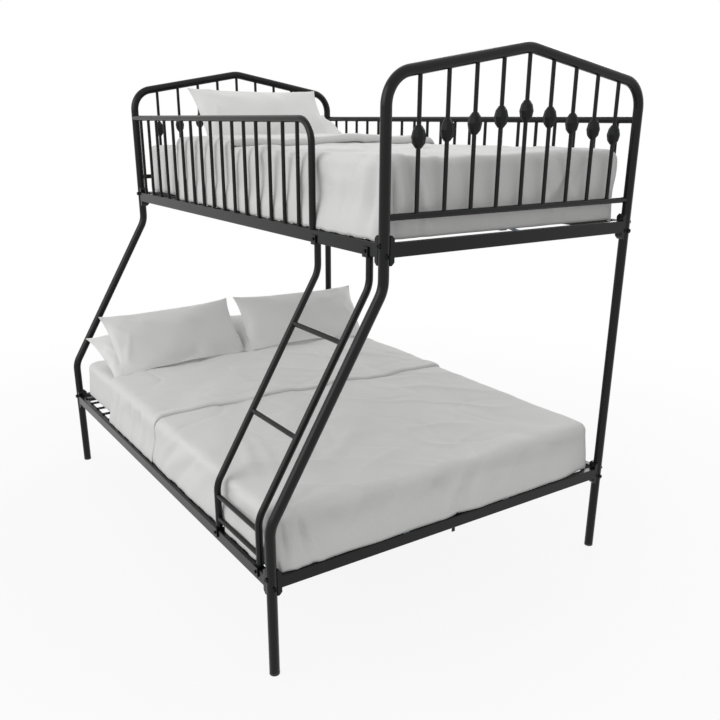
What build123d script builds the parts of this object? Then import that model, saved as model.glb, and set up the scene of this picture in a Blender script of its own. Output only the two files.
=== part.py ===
"""Metal bunk bed, a narrow bunk above a wide one, made with its bedding.

Millimetres, +Z up. X runs along the beds, from the head end (-X) to the foot end (+X). Y runs across
them: the ladder and the slanted posts are at the front, -Y. The origin is on the floor, midway between
the four lower posts.
"""

import os
from math import atan2, cos, radians, sin

from build123d import *

os.makedirs("parts", exist_ok=True)

# Overall layout, between post centrelines. Rises and drops are from the top of the lower or upper rails
length_between_posts = 1930.0
lower_width_between_posts = 1405.0
upper_width_between_posts = 1022.0
overall_height = 1798.0

# Tubes
post_diameter = 32.0
post_wall = 1.5
overrun = 2.0

# End hoops and legs
hoop_rise = 90.0
hoop_corner_radius = 90.0
hoop_peak_radius = 120.0
leg_joint_drop = 73.0
slant_top_drop = 129.0
slant_bottom_rise = 154.0
slant_bend_radius = 100.0
foot_cap_height = 10.0
foot_cap_edge_radius = 2.0
foot_plug_depth = 22.0
plug_clearance = 0.1
sleeve_length = 50.0
sleeve_wall = 1.5

# Rails
rail_height = 40.0
rail_thickness = 25.0
rail_wall = 1.5
rail_corner_radius = 3.0
lower_rail_top = 336.0
upper_rail_top = 1261.0

# Brackets and bolts that hold the rails to the posts
bracket_height = 84.0
bracket_reach = 12.0
bracket_chamfer = 9.0
bracket_post_gap_share = 0.8
frame_bolt_diameter = 8.0
frame_bolt_clearance = 0.2
frame_bolt_head_diameter = 15.0
frame_bolt_head_height = 5.0
frame_bolt_socket_size = 3.5
frame_bolt_socket_depth = 3.0
frame_bolt_spacing = 28.0
bolt_tip_cover = 1.0

# Spindles and knots of the upper ends
crossbar_diameter = 19.0
crossbar_wall = 1.5
crossbar_rise = 69.5
end_spindle_count = 9
end_spindle_margin = 110.2
spindle_diameter = 12.7
spindle_wall = 1.2
knot_length = 60.0
knot_width = 42.0
knot_sides = 8
knot_neck_width = 17.0
knot_centre_rise = 349.0
knot_height_step = 17.5
# Height along the knot and width there, each as a share of the whole
knot_profile_shares = [(-0.5, 0.0), (-0.3, 0.72), (0.0, 1.0), (0.3, 0.66), (0.5, 0.0)]

# Guard rails of the upper bunk
guard_tube_diameter = 22.0
guard_wall = 1.5
guard_height = 336.0
guard_outset = 5.0
guard_corner_radius = 70.0
guard_ladder_gap = 21.0
guard_first_spindle_gap = 82.0
guard_last_spindle_gap = 85.0
front_guard_spindle_count = 16
back_guard_spindle_count = 20

# Slats, and what carries and spaces them
slat_count = 22
slat_end_margin = 83.0
slat_width = 20.0
slat_height = 13.0
slat_wall = 1.0
slat_tab_thickness = 4.0
slat_tab_width = 24.0
slat_tab_length = 50.0
slat_neck_length = 18.0
slat_seat = 9.5
rivet_diameter = 4.0
rivet_head_diameter = 7.0
rivet_head_height = 2.5
rivet_inset = 4.0
rivet_tail = 1.5
strap_width = 25.0
strap_thickness = 1.5
lower_strap_offset = 218.0
strap_end_gap = 10.0
clip_wall = 2.0
clip_width = 14.0
centre_rail_width = 14.0
centre_rail_depth = 26.0
centre_rail_wall = 1.5
hook_width = 12.0
hook_thickness = 3.0
hook_drop = 31.0
hook_bolt_diameter = 10.0
hook_bolt_height = 4.0
hook_shank_diameter = 5.0

# Ladder
ladder_foot_gap = 69.0
ladder_width = 284.0
stile_diameter = 22.0
stile_wall = 1.5
stile_bend_radius = 90.0
rung_diameter = 16.0
rung_wall = 1.5
lowest_rung_rise = 36.0
second_rung_rise = 117.0
rung_spacing = 261.0
climbing_rung_count = 3
tab_width = 26.0
tab_thickness = 5.0
tab_drop = 30.0
tab_reach = 15.0
ladder_bolt_diameter = 6.0
ladder_bolt_head_diameter = 11.0
ladder_bolt_head_height = 3.5
ladder_bolt_clearance = 0.2
ladder_bolt_end = 4.0

# Bedding. Gaps are from the posts' centrelines, insets from the head posts
rest_gap = 0.3
mattress_end_gap = 35.0
mattress_bottom_radius = 12.0
lower_mattress_side_gap = 30.5
upper_mattress_side_gap = 26.0
lower_mattress_thickness = 156.0
upper_mattress_thickness = 200.0
mattress_corner_radius = 60.0
mattress_edge_radius = 24.0
duvet_side_thickness = 13.0
lower_duvet_thickness = 14.0
upper_duvet_thickness = 24.0
lower_turnback_thickness = 11.0
upper_turnback_thickness = 26.0
duvet_head_inset = 410.0
turnback_foot_inset = 905.0
turnback_side_thickness = 4.0

# Pillows, each with pointed corners and a crown
pillow_width = 660.0
pillow_height = 330.0
pillow_thickness = 120.0
pillow_seam_thickness = 5.0
# Place across the pillow, height there and thickness there, each as a share of the whole
pillow_section_shares = [
    (-0.5, 1.0, 0.04),
    (-0.42, 0.95, 0.5),
    (-0.24, 0.91, 0.9),
    (0.0, 0.9, 1.0),
    (0.24, 0.91, 0.9),
    (0.42, 0.95, 0.5),
    (0.5, 1.0, 0.04),
]
# Back pillows lie low and front ones lean steeply on them. Insets are from the head posts, rises from the
# mattress and offsets from the middle of the bed, the near side first
front_pillow_lean = 52.0
back_pillow_lean = 24.0
pillow_turn = 5.5
front_pillow_inset = 267.0
back_pillow_inset = 236.0
front_pillow_rise = 112.0
back_pillow_rise = 65.0
lower_front_pillow_offsets = (-297.0, 373.0)
lower_back_pillow_offsets = (-338.0, 345.0)
upper_front_pillow_offset = 5.0
upper_back_pillow_offset = 108.0

# Worked out from the driving sizes
x_end = length_between_posts / 2
y_back = lower_width_between_posts / 2
y_front = -y_back
y_upper_front = y_back - upper_width_between_posts
y_upper_middle = (y_back + y_upper_front) / 2
post_radius = post_diameter / 2
post_bore = post_radius - post_wall
leg_joint_height = upper_rail_top - leg_joint_drop
slant_top_height = upper_rail_top - slant_top_drop
slant_bottom_height = lower_rail_top + slant_bottom_rise
crossbar_height = upper_rail_top + crossbar_rise
slope = (y_upper_front - y_front) / (slant_top_height - slant_bottom_height)
hoop_half_turn = atan2(hoop_rise, upper_width_between_posts / 2)
peak_height = overall_height - post_radius + hoop_peak_radius * (1 / cos(hoop_half_turn) - 1)
shoulder_height = peak_height - hoop_rise
bracket_face = post_radius + bracket_reach
lower_rail_middle = lower_rail_top - rail_height / 2
upper_rail_middle = upper_rail_top - rail_height / 2
side_rail_end = x_end - bracket_face
ladder_right = x_end - ladder_foot_gap
ladder_left = ladder_right - ladder_width
mattress_length = length_between_posts - 2 * mattress_end_gap
slat_rise = slat_tab_thickness / 2 + slat_height / 2
lower_slat_middle = lower_rail_top + slat_tab_thickness / 2
lower_bed_height = lower_rail_top + slat_rise + clip_wall + rest_gap
upper_bed_height = upper_rail_top + slat_rise + strap_thickness + rest_gap
lower_mattress_top = lower_bed_height + lower_mattress_thickness
upper_mattress_top = upper_bed_height + upper_mattress_thickness
duvet_head_end = duvet_head_inset - x_end
turnback_foot_end = turnback_foot_inset - x_end
ends = (("left", -1), ("right", 1))


def save(builder, name):
    """Labels a finished piece and writes it under its own name."""
    builder.part.label = name
    export_step(builder.part, f"parts/{name}.step")
    print(name, len(builder.part.solids()), round(builder.part.volume))


def bent_tube(plane, points, radii, diameter, wall=0.0):
    """A round tube, or a bar with no wall given, along runs joined by bends. Its points are in the plane."""
    with BuildPart() as tube:
        with BuildLine(plane) as route:
            if radii:
                FilletPolyline(*points, radius=radii)
            else:
                Polyline(*points)
        with BuildSketch(Plane(route.line @ 0, z_dir=route.line % 0)):
            Circle(diameter / 2)
            if wall:
                Circle(diameter / 2 - wall, mode=Mode.SUBTRACT)
        sweep(path=route.line)
    return tube.part


def rod(start, direction, length, diameter):
    """A solid round bar from start along direction."""
    with BuildPart() as bar:
        with BuildSketch(Plane(start, z_dir=direction)):
            Circle(diameter / 2)
        extrude(amount=length)
    return bar.part


def box_tube(plane, length, width, depth, wall, corner):
    """A rectangular tube centred on the plane's origin and running both ways along its normal."""
    with BuildPart() as tube:
        with BuildSketch(plane):
            RectangleRounded(width, depth, corner)
            RectangleRounded(width - 2 * wall, depth - 2 * wall, corner - wall, mode=Mode.SUBTRACT)
        extrude(amount=length / 2, both=True)
    return tube.part


def slant_y(height):
    """Where the slanted front line stands, across the bed, at a height."""
    if height <= slant_bottom_height:
        return y_front
    if height >= slant_top_height:
        return y_upper_front
    return y_front + (height - slant_bottom_height) * slope


def rail_bolts(rail_middle):
    """Start, direction and height of each bolt through a post: one along X and one along Y."""
    front = y_upper_front if rail_middle > leg_joint_height else y_front
    for _, x_side in ends:
        for y_post, y_side in ((front, -1), (y_back, 1)):
            post = Vector(x_side * x_end, y_post, rail_middle)
            yield post - Vector(0, 0, frame_bolt_spacing / 2), Vector(x_side, 0, 0)
            yield post + Vector(0, 0, frame_bolt_spacing / 2), Vector(0, y_side, 0)


def bolt_holes(rail_middle):
    """The clearance holes that those bolts need through the posts."""
    with BuildPart() as holes:
        for centre, outward in rail_bolts(rail_middle):
            start = centre + outward * (post_radius + overrun)
            width = frame_bolt_diameter + 2 * frame_bolt_clearance
            add(rod(start, -outward, post_diameter + 2 * overrun, width))
    return holes.part


upper_bolt_holes = bolt_holes(upper_rail_middle)
lower_bolt_holes = bolt_holes(lower_rail_middle)

# End hoops: each is one tube with a peaked top, standing on the legs
hoop_points = [
    (y_back, leg_joint_height),
    (y_back, shoulder_height),
    (y_upper_middle, peak_height),
    (y_upper_front, shoulder_height),
    (y_upper_front, leg_joint_height),
]
hoop_radii = [hoop_corner_radius, hoop_peak_radius, hoop_corner_radius]
for side, sign in ends:
    with BuildPart() as end_hoop:
        plane = Plane.YZ.offset(sign * x_end)
        add(bent_tube(plane, hoop_points, hoop_radii, post_diameter, post_wall))
        add(upper_bolt_holes, mode=Mode.SUBTRACT)
    save(end_hoop, f"{side}_end_hoop")

# Legs: straight at the back, slanted out to the wider lower bunk at the front
leg_bottom = foot_cap_height
front_leg_points = [
    (y_front, leg_bottom),
    (y_front, slant_bottom_height),
    (y_upper_front, slant_top_height),
    (y_upper_front, leg_joint_height),
]
front_leg_radii = [slant_bend_radius, slant_bend_radius]
back_leg_points = [(y_back, leg_bottom), (y_back, leg_joint_height)]
for side, sign in ends:
    plane = Plane.YZ.offset(sign * x_end)
    with BuildPart() as back_leg:
        add(bent_tube(plane, back_leg_points, [], post_diameter, post_wall))
        add(lower_bolt_holes, mode=Mode.SUBTRACT)
    save(back_leg, f"{side}_back_leg")
    with BuildPart() as front_leg:
        add(bent_tube(plane, front_leg_points, front_leg_radii, post_diameter, post_wall))
        add(lower_bolt_holes, mode=Mode.SUBTRACT)
    save(front_leg, f"{side}_front_leg")

# Sleeves inside the joints between the hoops and the legs
with BuildPart() as leg_joint_sleeves:
    with BuildSketch(Plane.XY.offset(leg_joint_height - sleeve_length / 2)):
        for _, sign in ends:
            for y_post in (y_upper_front, y_back):
                with Locations((sign * x_end, y_post)):
                    Circle(post_bore - plug_clearance)
                    Circle(post_bore - plug_clearance - sleeve_wall, mode=Mode.SUBTRACT)
    extrude(amount=sleeve_length)
save(leg_joint_sleeves, "leg_joint_sleeves")

# Plastic caps under the legs, with a plug up inside each tube
with BuildPart() as foot_caps:
    feet = [(sign * x_end, y_post) for _, sign in ends for y_post in (y_front, y_back)]
    with BuildSketch():
        with Locations(*feet):
            Circle(post_radius)
    extrude(amount=foot_cap_height)
    fillet(foot_caps.edges().group_by(Axis.Z)[0], radius=foot_cap_edge_radius)
    with BuildSketch(Plane.XY.offset(foot_cap_height)):
        with Locations(*feet):
            Circle(post_bore - plug_clearance)
    extrude(amount=foot_plug_depth)
save(foot_caps, "foot_caps")

# Crossbars of the upper ends
for side, sign in ends:
    with BuildPart() as end_crossbar:
        plane = Plane.YZ.offset(sign * x_end)
        run = [(y_upper_front, crossbar_height), (y_back, crossbar_height)]
        add(bent_tube(plane, run, [], crossbar_diameter, crossbar_wall))
        for y_post in (y_upper_front, y_back):
            start = (sign * x_end, y_post, leg_joint_height)
            add(rod(start, (0, 0, 1), shoulder_height - leg_joint_height, post_diameter), mode=Mode.SUBTRACT)
    save(end_crossbar, f"{side}_end_crossbar")

# Spindles of the upper ends, cut to the crossbar below and the peaked tube above
end_spindle_spacing = (upper_width_between_posts - 2 * end_spindle_margin) / (end_spindle_count - 1)
spindle_places = [
    (index - (end_spindle_count - 1) / 2) * end_spindle_spacing for index in range(end_spindle_count)
]


def top_line(offset):
    """Height of the peaked tube's centreline at a distance from the middle of the upper bunk."""
    return peak_height - abs(offset) * hoop_rise / (upper_width_between_posts / 2)


for side, sign in ends:
    with BuildPart() as end_spindles:
        for offset in spindle_places:
            foot = (sign * x_end, y_upper_middle + offset, crossbar_height)
            add(rod(foot, (0, 0, 1), top_line(offset) - crossbar_height, spindle_diameter))
        bar_start = (sign * x_end, y_upper_front, crossbar_height)
        add(rod(bar_start, (0, 1, 0), upper_width_between_posts, crossbar_diameter), mode=Mode.SUBTRACT)
        hoop_plane = Plane.YZ.offset(sign * x_end)
        add(bent_tube(hoop_plane, hoop_points, hoop_radii, post_diameter), mode=Mode.SUBTRACT)
        for offset in spindle_places:
            foot = (sign * x_end, y_upper_middle + offset, crossbar_height)
            bore = spindle_diameter - 2 * spindle_wall
            add(rod(foot, (0, 0, 1), top_line(offset) - crossbar_height, bore), mode=Mode.SUBTRACT)
    save(end_spindles, f"{side}_end_spindles")

# Faceted knots threaded on those spindles, higher towards the peak
knot_centre_height = upper_rail_top + knot_centre_rise
for side, sign in ends:
    with BuildPart() as end_knots:
        for index, offset in enumerate(spindle_places):
            steps = abs(index - (end_spindle_count - 1) / 2)
            middle = (sign * x_end, y_upper_middle + offset, knot_centre_height - steps * knot_height_step)
            for height_share, width_share in knot_profile_shares:
                width = knot_neck_width + (knot_width - knot_neck_width) * width_share
                with BuildSketch(Plane(middle).offset(height_share * knot_length)):
                    RegularPolygon(width / 2, knot_sides)
            loft(ruled=True)
        for index, offset in enumerate(spindle_places):
            start = (sign * x_end, y_upper_middle + offset, crossbar_height)
            height = top_line(offset) - crossbar_height
            add(rod(start, (0, 0, 1), height, spindle_diameter), mode=Mode.SUBTRACT)
    save(end_knots, f"{side}_end_knots")

# Rails: rectangular tubes that stop at the brackets
upper_end_rail_length = upper_width_between_posts - 2 * bracket_face
lower_end_rail_length = lower_width_between_posts - 2 * bracket_face
levels = (
    ("upper", upper_rail_middle, y_upper_front, upper_end_rail_length),
    ("lower", lower_rail_middle, y_front, lower_end_rail_length),
)


slat_spacing = (length_between_posts - 2 * slat_end_margin) / (slat_count - 1)


def slat_xs():
    """Where the slats lie along the bed."""
    return [(index - (slat_count - 1) / 2) * slat_spacing for index in range(slat_count)]


def rivet_offset(y_rail, y_middle):
    """Across the bed, where the rivets of one rail stand."""
    inward = 1 if y_rail < y_middle else -1
    return y_rail + inward * (rail_thickness / 2 - slat_seat + rivet_inset)


def ladder_bolt_height(middle):
    """Height of the ladder's bolts in a front rail: midway along the tab on the rail's outer face."""
    if middle > leg_joint_height:
        return middle - rail_height / 2 + (tab_drop - tab_thickness) / 2
    return middle + rail_height / 2 - (tab_drop - tab_thickness) / 2


def ladder_bolt_start(x, middle, front):
    """Where a ladder bolt enters its tab, on the tab's outer face."""
    return Vector(x, front - rail_thickness / 2 - tab_thickness, ladder_bolt_height(middle))


def ladder_holes(middle, front):
    """Clearance holes for the ladder's bolts through a front rail's outer wall."""
    with BuildPart() as holes:
        for x in (ladder_left, ladder_right):
            width = ladder_bolt_diameter + 2 * ladder_bolt_clearance
            length = tab_thickness + rail_wall + ladder_bolt_end
            add(rod(ladder_bolt_start(x, middle, front), (0, 1, 0), length, width))
    return holes.part


for level, middle, front, end_length in levels:
    y_middle = (front + y_back) / 2
    for side, sign in ends:
        with BuildPart() as end_rail:
            plane = Plane((sign * x_end, y_middle, middle), x_dir=(1, 0, 0), z_dir=(0, 1, 0))
            add(box_tube(plane, end_length, rail_thickness, rail_height, rail_wall, rail_corner_radius))
            if level == "lower":
                top = (sign * x_end, y_middle, middle + rail_height / 2 + overrun)
                add(rod(top, (0, 0, -1), rail_wall + 2 * overrun, hook_shank_diameter), mode=Mode.SUBTRACT)
        save(end_rail, f"{level}_{side}_end_rail")
    for name, y_rail in (("front", front), ("back", y_back)):
        with BuildPart() as side_rail:
            plane = Plane((0, y_rail, middle), x_dir=(0, 1, 0), z_dir=(1, 0, 0))
            rail_length = 2 * side_rail_end
            add(box_tube(plane, rail_length, rail_thickness, rail_height, rail_wall, rail_corner_radius))
            rivet_places = [(x, rivet_offset(y_rail, y_middle)) for x in slat_xs()]
            with BuildSketch(Plane.XY.offset(middle + rail_height / 2 - rail_wall - overrun)):
                with Locations(*rivet_places):
                    Circle(rivet_diameter / 2)
            extrude(amount=rail_wall + 2 * overrun, mode=Mode.SUBTRACT)
            if name == "front":
                add(ladder_holes(middle, front), mode=Mode.SUBTRACT)
        save(side_rail, f"{level}_{name}_rail")

# Brackets: a block on each rail end that seats on the post, taller than the rail and bevelled
def bracket(post, inward):
    """One bracket, from beside the post's axis to the rail's end."""
    with BuildPart() as block:
        start = post_radius * bracket_post_gap_share
        bevel = bracket_face - bracket_chamfer
        half = bracket_height / 2
        with BuildSketch(Plane(post, x_dir=inward, z_dir=inward.cross(Vector(0, 0, 1)))):
            with BuildLine():
                Polyline(
                    (start, -half),
                    (bevel, -half),
                    (bracket_face, bracket_chamfer - half),
                    (bracket_face, half - bracket_chamfer),
                    (bevel, half),
                    (start, half),
                    close=True,
                )
            make_face()
        extrude(amount=rail_thickness / 2, both=True)
        foot = post - Vector(0, 0, bracket_height)
        add(rod(foot, (0, 0, 1), 2 * bracket_height, post_diameter), mode=Mode.SUBTRACT)
    return block.part


def bolt_shank(centre, outward):
    """The round part of a frame bolt, from inside its bracket to inside its head."""
    tip = centre - outward * (bracket_face - bolt_tip_cover)
    length = bracket_face - bolt_tip_cover + post_radius + frame_bolt_head_height / 2
    return rod(tip, outward, length, frame_bolt_diameter)


for level, middle, front, _ in levels:
    with BuildPart() as rail_brackets:
        for _, x_side in ends:
            for y_post, y_side in ((front, -1), (y_back, 1)):
                post = Vector(x_side * x_end, y_post, middle)
                add(bracket(post, Vector(-x_side, 0, 0)))
                add(bracket(post, Vector(0, -y_side, 0)))
        for centre, outward in rail_bolts(middle):
            add(bolt_shank(centre, outward), mode=Mode.SUBTRACT)
    save(rail_brackets, f"{level}_rail_brackets")

    # Socket-head bolts through the posts, their heads shaped to the round tube
    with BuildPart() as frame_bolts:
        for centre, outward in rail_bolts(middle):
            head_height = post_radius + frame_bolt_head_height
            add(rod(centre, outward, head_height, frame_bolt_head_diameter))
        for _, x_side in ends:
            for y_post in (front, y_back):
                foot = (x_side * x_end, y_post, middle - bracket_height)
                add(rod(foot, (0, 0, 1), 2 * bracket_height, post_diameter), mode=Mode.SUBTRACT)
        for centre, outward in rail_bolts(middle):
            add(bolt_shank(centre, outward))
        for centre, outward in rail_bolts(middle):
            top = centre + outward * (post_radius + frame_bolt_head_height)
            with BuildSketch(Plane(top, z_dir=outward)):
                RegularPolygon(frame_bolt_socket_size, side_count=6)
            extrude(amount=-frame_bolt_socket_depth, mode=Mode.SUBTRACT)
    save(frame_bolts, f"{level}_frame_bolts")

# Front guard: one tube that turns down to the rail short of the ladder
y_front_guard = y_upper_front - guard_outset
y_back_guard = y_back + guard_outset
guard_line = upper_rail_top + guard_height - guard_tube_diameter / 2
front_guard_end = ladder_left - guard_ladder_gap
front_guard_plane = Plane((0, y_front_guard, 0), x_dir=(1, 0, 0), z_dir=(0, -1, 0))
back_guard_plane = Plane((0, y_back_guard, 0), x_dir=(1, 0, 0), z_dir=(0, -1, 0))
front_guard_points = [(-x_end, guard_line), (front_guard_end, guard_line), (front_guard_end, upper_rail_top)]
back_guard_points = [(-x_end, guard_line), (x_end, guard_line)]


def upper_post(sign, y_post):
    """One upper post as a solid bar, for cutting what is welded to it."""
    start = (sign * x_end, y_post, leg_joint_height)
    return rod(start, (0, 0, 1), shoulder_height - leg_joint_height, post_diameter)


with BuildPart() as front_guard_frame:
    radii = [guard_corner_radius]
    add(bent_tube(front_guard_plane, front_guard_points, radii, guard_tube_diameter, guard_wall))
    add(upper_post(-1, y_upper_front), mode=Mode.SUBTRACT)
save(front_guard_frame, "front_guard_frame")

with BuildPart() as back_guard_rail:
    add(bent_tube(back_guard_plane, back_guard_points, [], guard_tube_diameter, guard_wall))
    for _, sign in ends:
        add(upper_post(sign, y_back), mode=Mode.SUBTRACT)
save(back_guard_rail, "back_guard_rail")

# Plain spindles between the guard rails and the upper side rails
first_spindle = guard_first_spindle_gap - x_end
front_run = front_guard_end - guard_last_spindle_gap - first_spindle
front_spacing = front_run / (front_guard_spindle_count - 1)
back_spacing = (length_between_posts - 2 * guard_first_spindle_gap) / (back_guard_spindle_count - 1)
guards = (
    ("front", y_front_guard, front_guard_spindle_count, front_spacing),
    ("back", y_back_guard, back_guard_spindle_count, back_spacing),
)
for name, y_guard, count, spacing in guards:
    with BuildPart() as guard_spindles:
        with BuildSketch(Plane.XY.offset(upper_rail_top)):
            with Locations(*[(first_spindle + index * spacing, y_guard) for index in range(count)]):
                Circle(spindle_diameter / 2)
                Circle(spindle_diameter / 2 - spindle_wall, mode=Mode.SUBTRACT)
        extrude(amount=guard_line - upper_rail_top)
        start = (-x_end, y_guard, guard_line)
        add(rod(start, (1, 0, 0), length_between_posts, guard_tube_diameter), mode=Mode.SUBTRACT)
    save(guard_spindles, f"{name}_guard_spindles")


# Slats: flat oval tubes whose ends are pressed flat and riveted on the side rails
def slat(half_length):
    """One slat along Y, its middle at the origin."""
    body_end = half_length - slat_tab_length - slat_neck_length
    with BuildPart() as one_slat:
        with BuildSketch(Plane((0, 0, 0), x_dir=(1, 0, 0), z_dir=(0, -1, 0))):
            SlotOverall(slat_width, slat_height)
            inner_width = slat_width - 2 * slat_wall
            SlotOverall(inner_width, slat_height - 2 * slat_wall, mode=Mode.SUBTRACT)
        extrude(amount=body_end, both=True)
        for way in (-1, 1):
            near = Plane((0, way * body_end, 0), x_dir=(1, 0, 0), z_dir=(0, way, 0))
            tab = near.offset(slat_neck_length)
            with BuildSketch(near):
                SlotOverall(slat_width, slat_height)
            with BuildSketch(tab):
                SlotOverall(slat_tab_width, slat_tab_thickness)
            loft()
            with BuildSketch(tab):
                SlotOverall(slat_tab_width, slat_tab_thickness)
            extrude(amount=slat_tab_length)
            hole_start = (0, way * (half_length - rivet_inset), -slat_height)
            add(rod(hole_start, (0, 0, 1), 2 * slat_height, rivet_diameter), mode=Mode.SUBTRACT)
    return one_slat.part


for level, middle, front, _ in levels:
    y_middle = (front + y_back) / 2
    half_length = (y_back - front) / 2 - rail_thickness / 2 + slat_seat
    slat_height_there = middle + rail_height / 2 + slat_tab_thickness / 2
    one = slat(half_length)
    with BuildPart() as slats:
        with Locations(*[(x, y_middle, slat_height_there) for x in slat_xs()]):
            add(one)
    save(slats, f"{level}_slats")

    with BuildPart() as slat_rivets:
        places = [(x, rivet_offset(y_rail, y_middle)) for x in slat_xs() for y_rail in (front, y_back)]
        tab_top = middle + rail_height / 2 + slat_tab_thickness
        with BuildSketch(Plane.XY.offset(tab_top)):
            with Locations(*places):
                Circle(rivet_head_diameter / 2)
        extrude(amount=rivet_head_height)
        fillet(slat_rivets.edges().group_by(Axis.Z)[-1], radius=rivet_head_height / 2)
        with BuildSketch(Plane.XY.offset(tab_top)):
            with Locations(*places):
                Circle(rivet_diameter / 2)
        extrude(amount=-(slat_tab_thickness + rail_wall + rivet_tail))
    save(slat_rivets, f"{level}_slat_rivets")

# Webbing straps that hold the slats apart: a loop round all slats, its ends laid on top of the end rails
strap_turn = (slat_count - 1) / 2 * slat_spacing + slat_width / 2 + strap_end_gap
rail_inner = x_end - rail_thickness / 2
strap_tip = x_end + rail_thickness / 2 - rail_corner_radius


def strap(y_middle, rail_top):
    """One strap, with its outline drawn along the bed."""
    slat_middle = rail_top + slat_tab_thickness / 2
    slat_top = slat_middle + slat_height / 2
    upper_side = slat_top + strap_thickness
    with BuildPart() as band:
        with BuildSketch(Plane((0, y_middle, 0), x_dir=(1, 0, 0), z_dir=(0, -1, 0))):
            loop_height = slat_height + 2 * strap_thickness
            with Locations((0, slat_middle)):
                Rectangle(2 * (strap_turn + strap_thickness), loop_height)
                Rectangle(2 * strap_turn, slat_height, mode=Mode.SUBTRACT)
            for _, sign in ends:
                with BuildLine():
                    Polyline(
                        (sign * strap_turn, slat_top),
                        (sign * strap_turn, upper_side),
                        (sign * rail_inner, rail_top + strap_thickness),
                        (sign * strap_tip, rail_top + strap_thickness),
                        (sign * strap_tip, rail_top),
                        (sign * rail_inner, rail_top),
                        close=True,
                    )
                make_face()
        extrude(amount=strap_width / 2, both=True)
    return band.part


straps = (
    ("lower_front_strap", -lower_strap_offset, lower_rail_top),
    ("lower_back_strap", lower_strap_offset, lower_rail_top),
    ("upper_strap", y_upper_middle, upper_rail_top),
)
for name, y_strap, rail_top in straps:
    with BuildPart() as webbing:
        add(strap(y_strap, rail_top))
    save(webbing, name)

# Plastic clips round the middle of the lower slats, standing on the centre rail
centre_rail_top = lower_slat_middle - slat_height / 2 - clip_wall
with BuildPart() as lower_slat_clips:
    places = [(x, lower_slat_middle) for x in slat_xs()]
    with BuildSketch(Plane((0, 0, 0), x_dir=(1, 0, 0), z_dir=(0, -1, 0))):
        with Locations(*places):
            SlotOverall(slat_width + 2 * clip_wall, slat_height + 2 * clip_wall)
            SlotOverall(slat_width, slat_height, mode=Mode.SUBTRACT)
    extrude(amount=clip_width / 2, both=True)
save(lower_slat_clips, "lower_slat_clips")

# Centre rail under the lower slats, carried by a hooked plate on each end rail
centre_rail_end = rail_inner - hook_thickness
with BuildPart() as lower_centre_rail:
    plane = Plane((0, 0, centre_rail_top - centre_rail_depth / 2), x_dir=(0, 1, 0), z_dir=(1, 0, 0))
    size = (centre_rail_width, centre_rail_depth)
    add(box_tube(plane, 2 * centre_rail_end, *size, centre_rail_wall, rail_corner_radius))
save(lower_centre_rail, "lower_centre_rail")

hook_reach = x_end + hook_bolt_diameter / 2
with BuildPart() as centre_rail_hooks:
    with BuildSketch(Plane((0, 0, 0), x_dir=(1, 0, 0), z_dir=(0, -1, 0))):
        for _, sign in ends:
            with BuildLine():
                Polyline(
                    (sign * centre_rail_end, lower_rail_top - rail_height - hook_drop),
                    (sign * centre_rail_end, lower_rail_top + hook_thickness),
                    (sign * hook_reach, lower_rail_top + hook_thickness),
                    (sign * hook_reach, lower_rail_top),
                    (sign * rail_inner, lower_rail_top),
                    (sign * rail_inner, lower_rail_top - rail_height - hook_drop),
                    close=True,
                )
            make_face()
    extrude(amount=hook_width / 2, both=True)
    for _, sign in ends:
        start = (sign * x_end, 0, lower_rail_top - overrun)
        add(rod(start, (0, 0, 1), hook_thickness + 2 * overrun, hook_shank_diameter), mode=Mode.SUBTRACT)
save(centre_rail_hooks, "centre_rail_hooks")

with BuildPart() as centre_rail_bolts:
    hook_top = lower_rail_top + hook_thickness
    for _, sign in ends:
        add(rod((sign * x_end, 0, hook_top), (0, 0, 1), hook_bolt_height, hook_bolt_diameter))
        add(rod((sign * x_end, 0, hook_top), (0, 0, -1), hook_thickness + rail_wall, hook_shank_diameter))
    fillet(centre_rail_bolts.edges().group_by(Axis.Z)[-1], radius=hook_bolt_height / 4)
save(centre_rail_bolts, "centre_rail_bolts")

# Ladder: two bent stiles that follow the slanted posts, between the lower and upper front rails
stile_points = [
    (y_front, lower_rail_top + tab_thickness),
    (y_front, slant_bottom_height),
    (y_upper_front, slant_top_height),
    (y_upper_front, upper_rail_top - rail_height - tab_thickness),
]
stile_radii = [stile_bend_radius, stile_bend_radius]
stiles = (("left", ladder_left), ("right", ladder_right))
for side, x in stiles:
    with BuildPart() as ladder_stile:
        add(bent_tube(Plane.YZ.offset(x), stile_points, stile_radii, stile_diameter, stile_wall))
    save(ladder_stile, f"{side}_ladder_stile")

# Rungs: a low tie and a low step close together, then two evenly spaced steps on the slant
rung_heights = [lower_rail_top + lowest_rung_rise]
second_rung_height = lower_rail_top + second_rung_rise
rung_heights += [second_rung_height + index * rung_spacing for index in range(climbing_rung_count)]
with BuildPart() as ladder_rungs:
    for height in rung_heights:
        plane = Plane((ladder_left, slant_y(height), height), x_dir=(0, 1, 0), z_dir=(1, 0, 0))
        with BuildSketch(plane):
            Circle(rung_diameter / 2)
            Circle(rung_diameter / 2 - rung_wall, mode=Mode.SUBTRACT)
        extrude(amount=ladder_right - ladder_left)
    for _, x in stiles:
        add(bent_tube(Plane.YZ.offset(x), stile_points, stile_radii, stile_diameter), mode=Mode.SUBTRACT)
save(ladder_rungs, "ladder_rungs")

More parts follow.
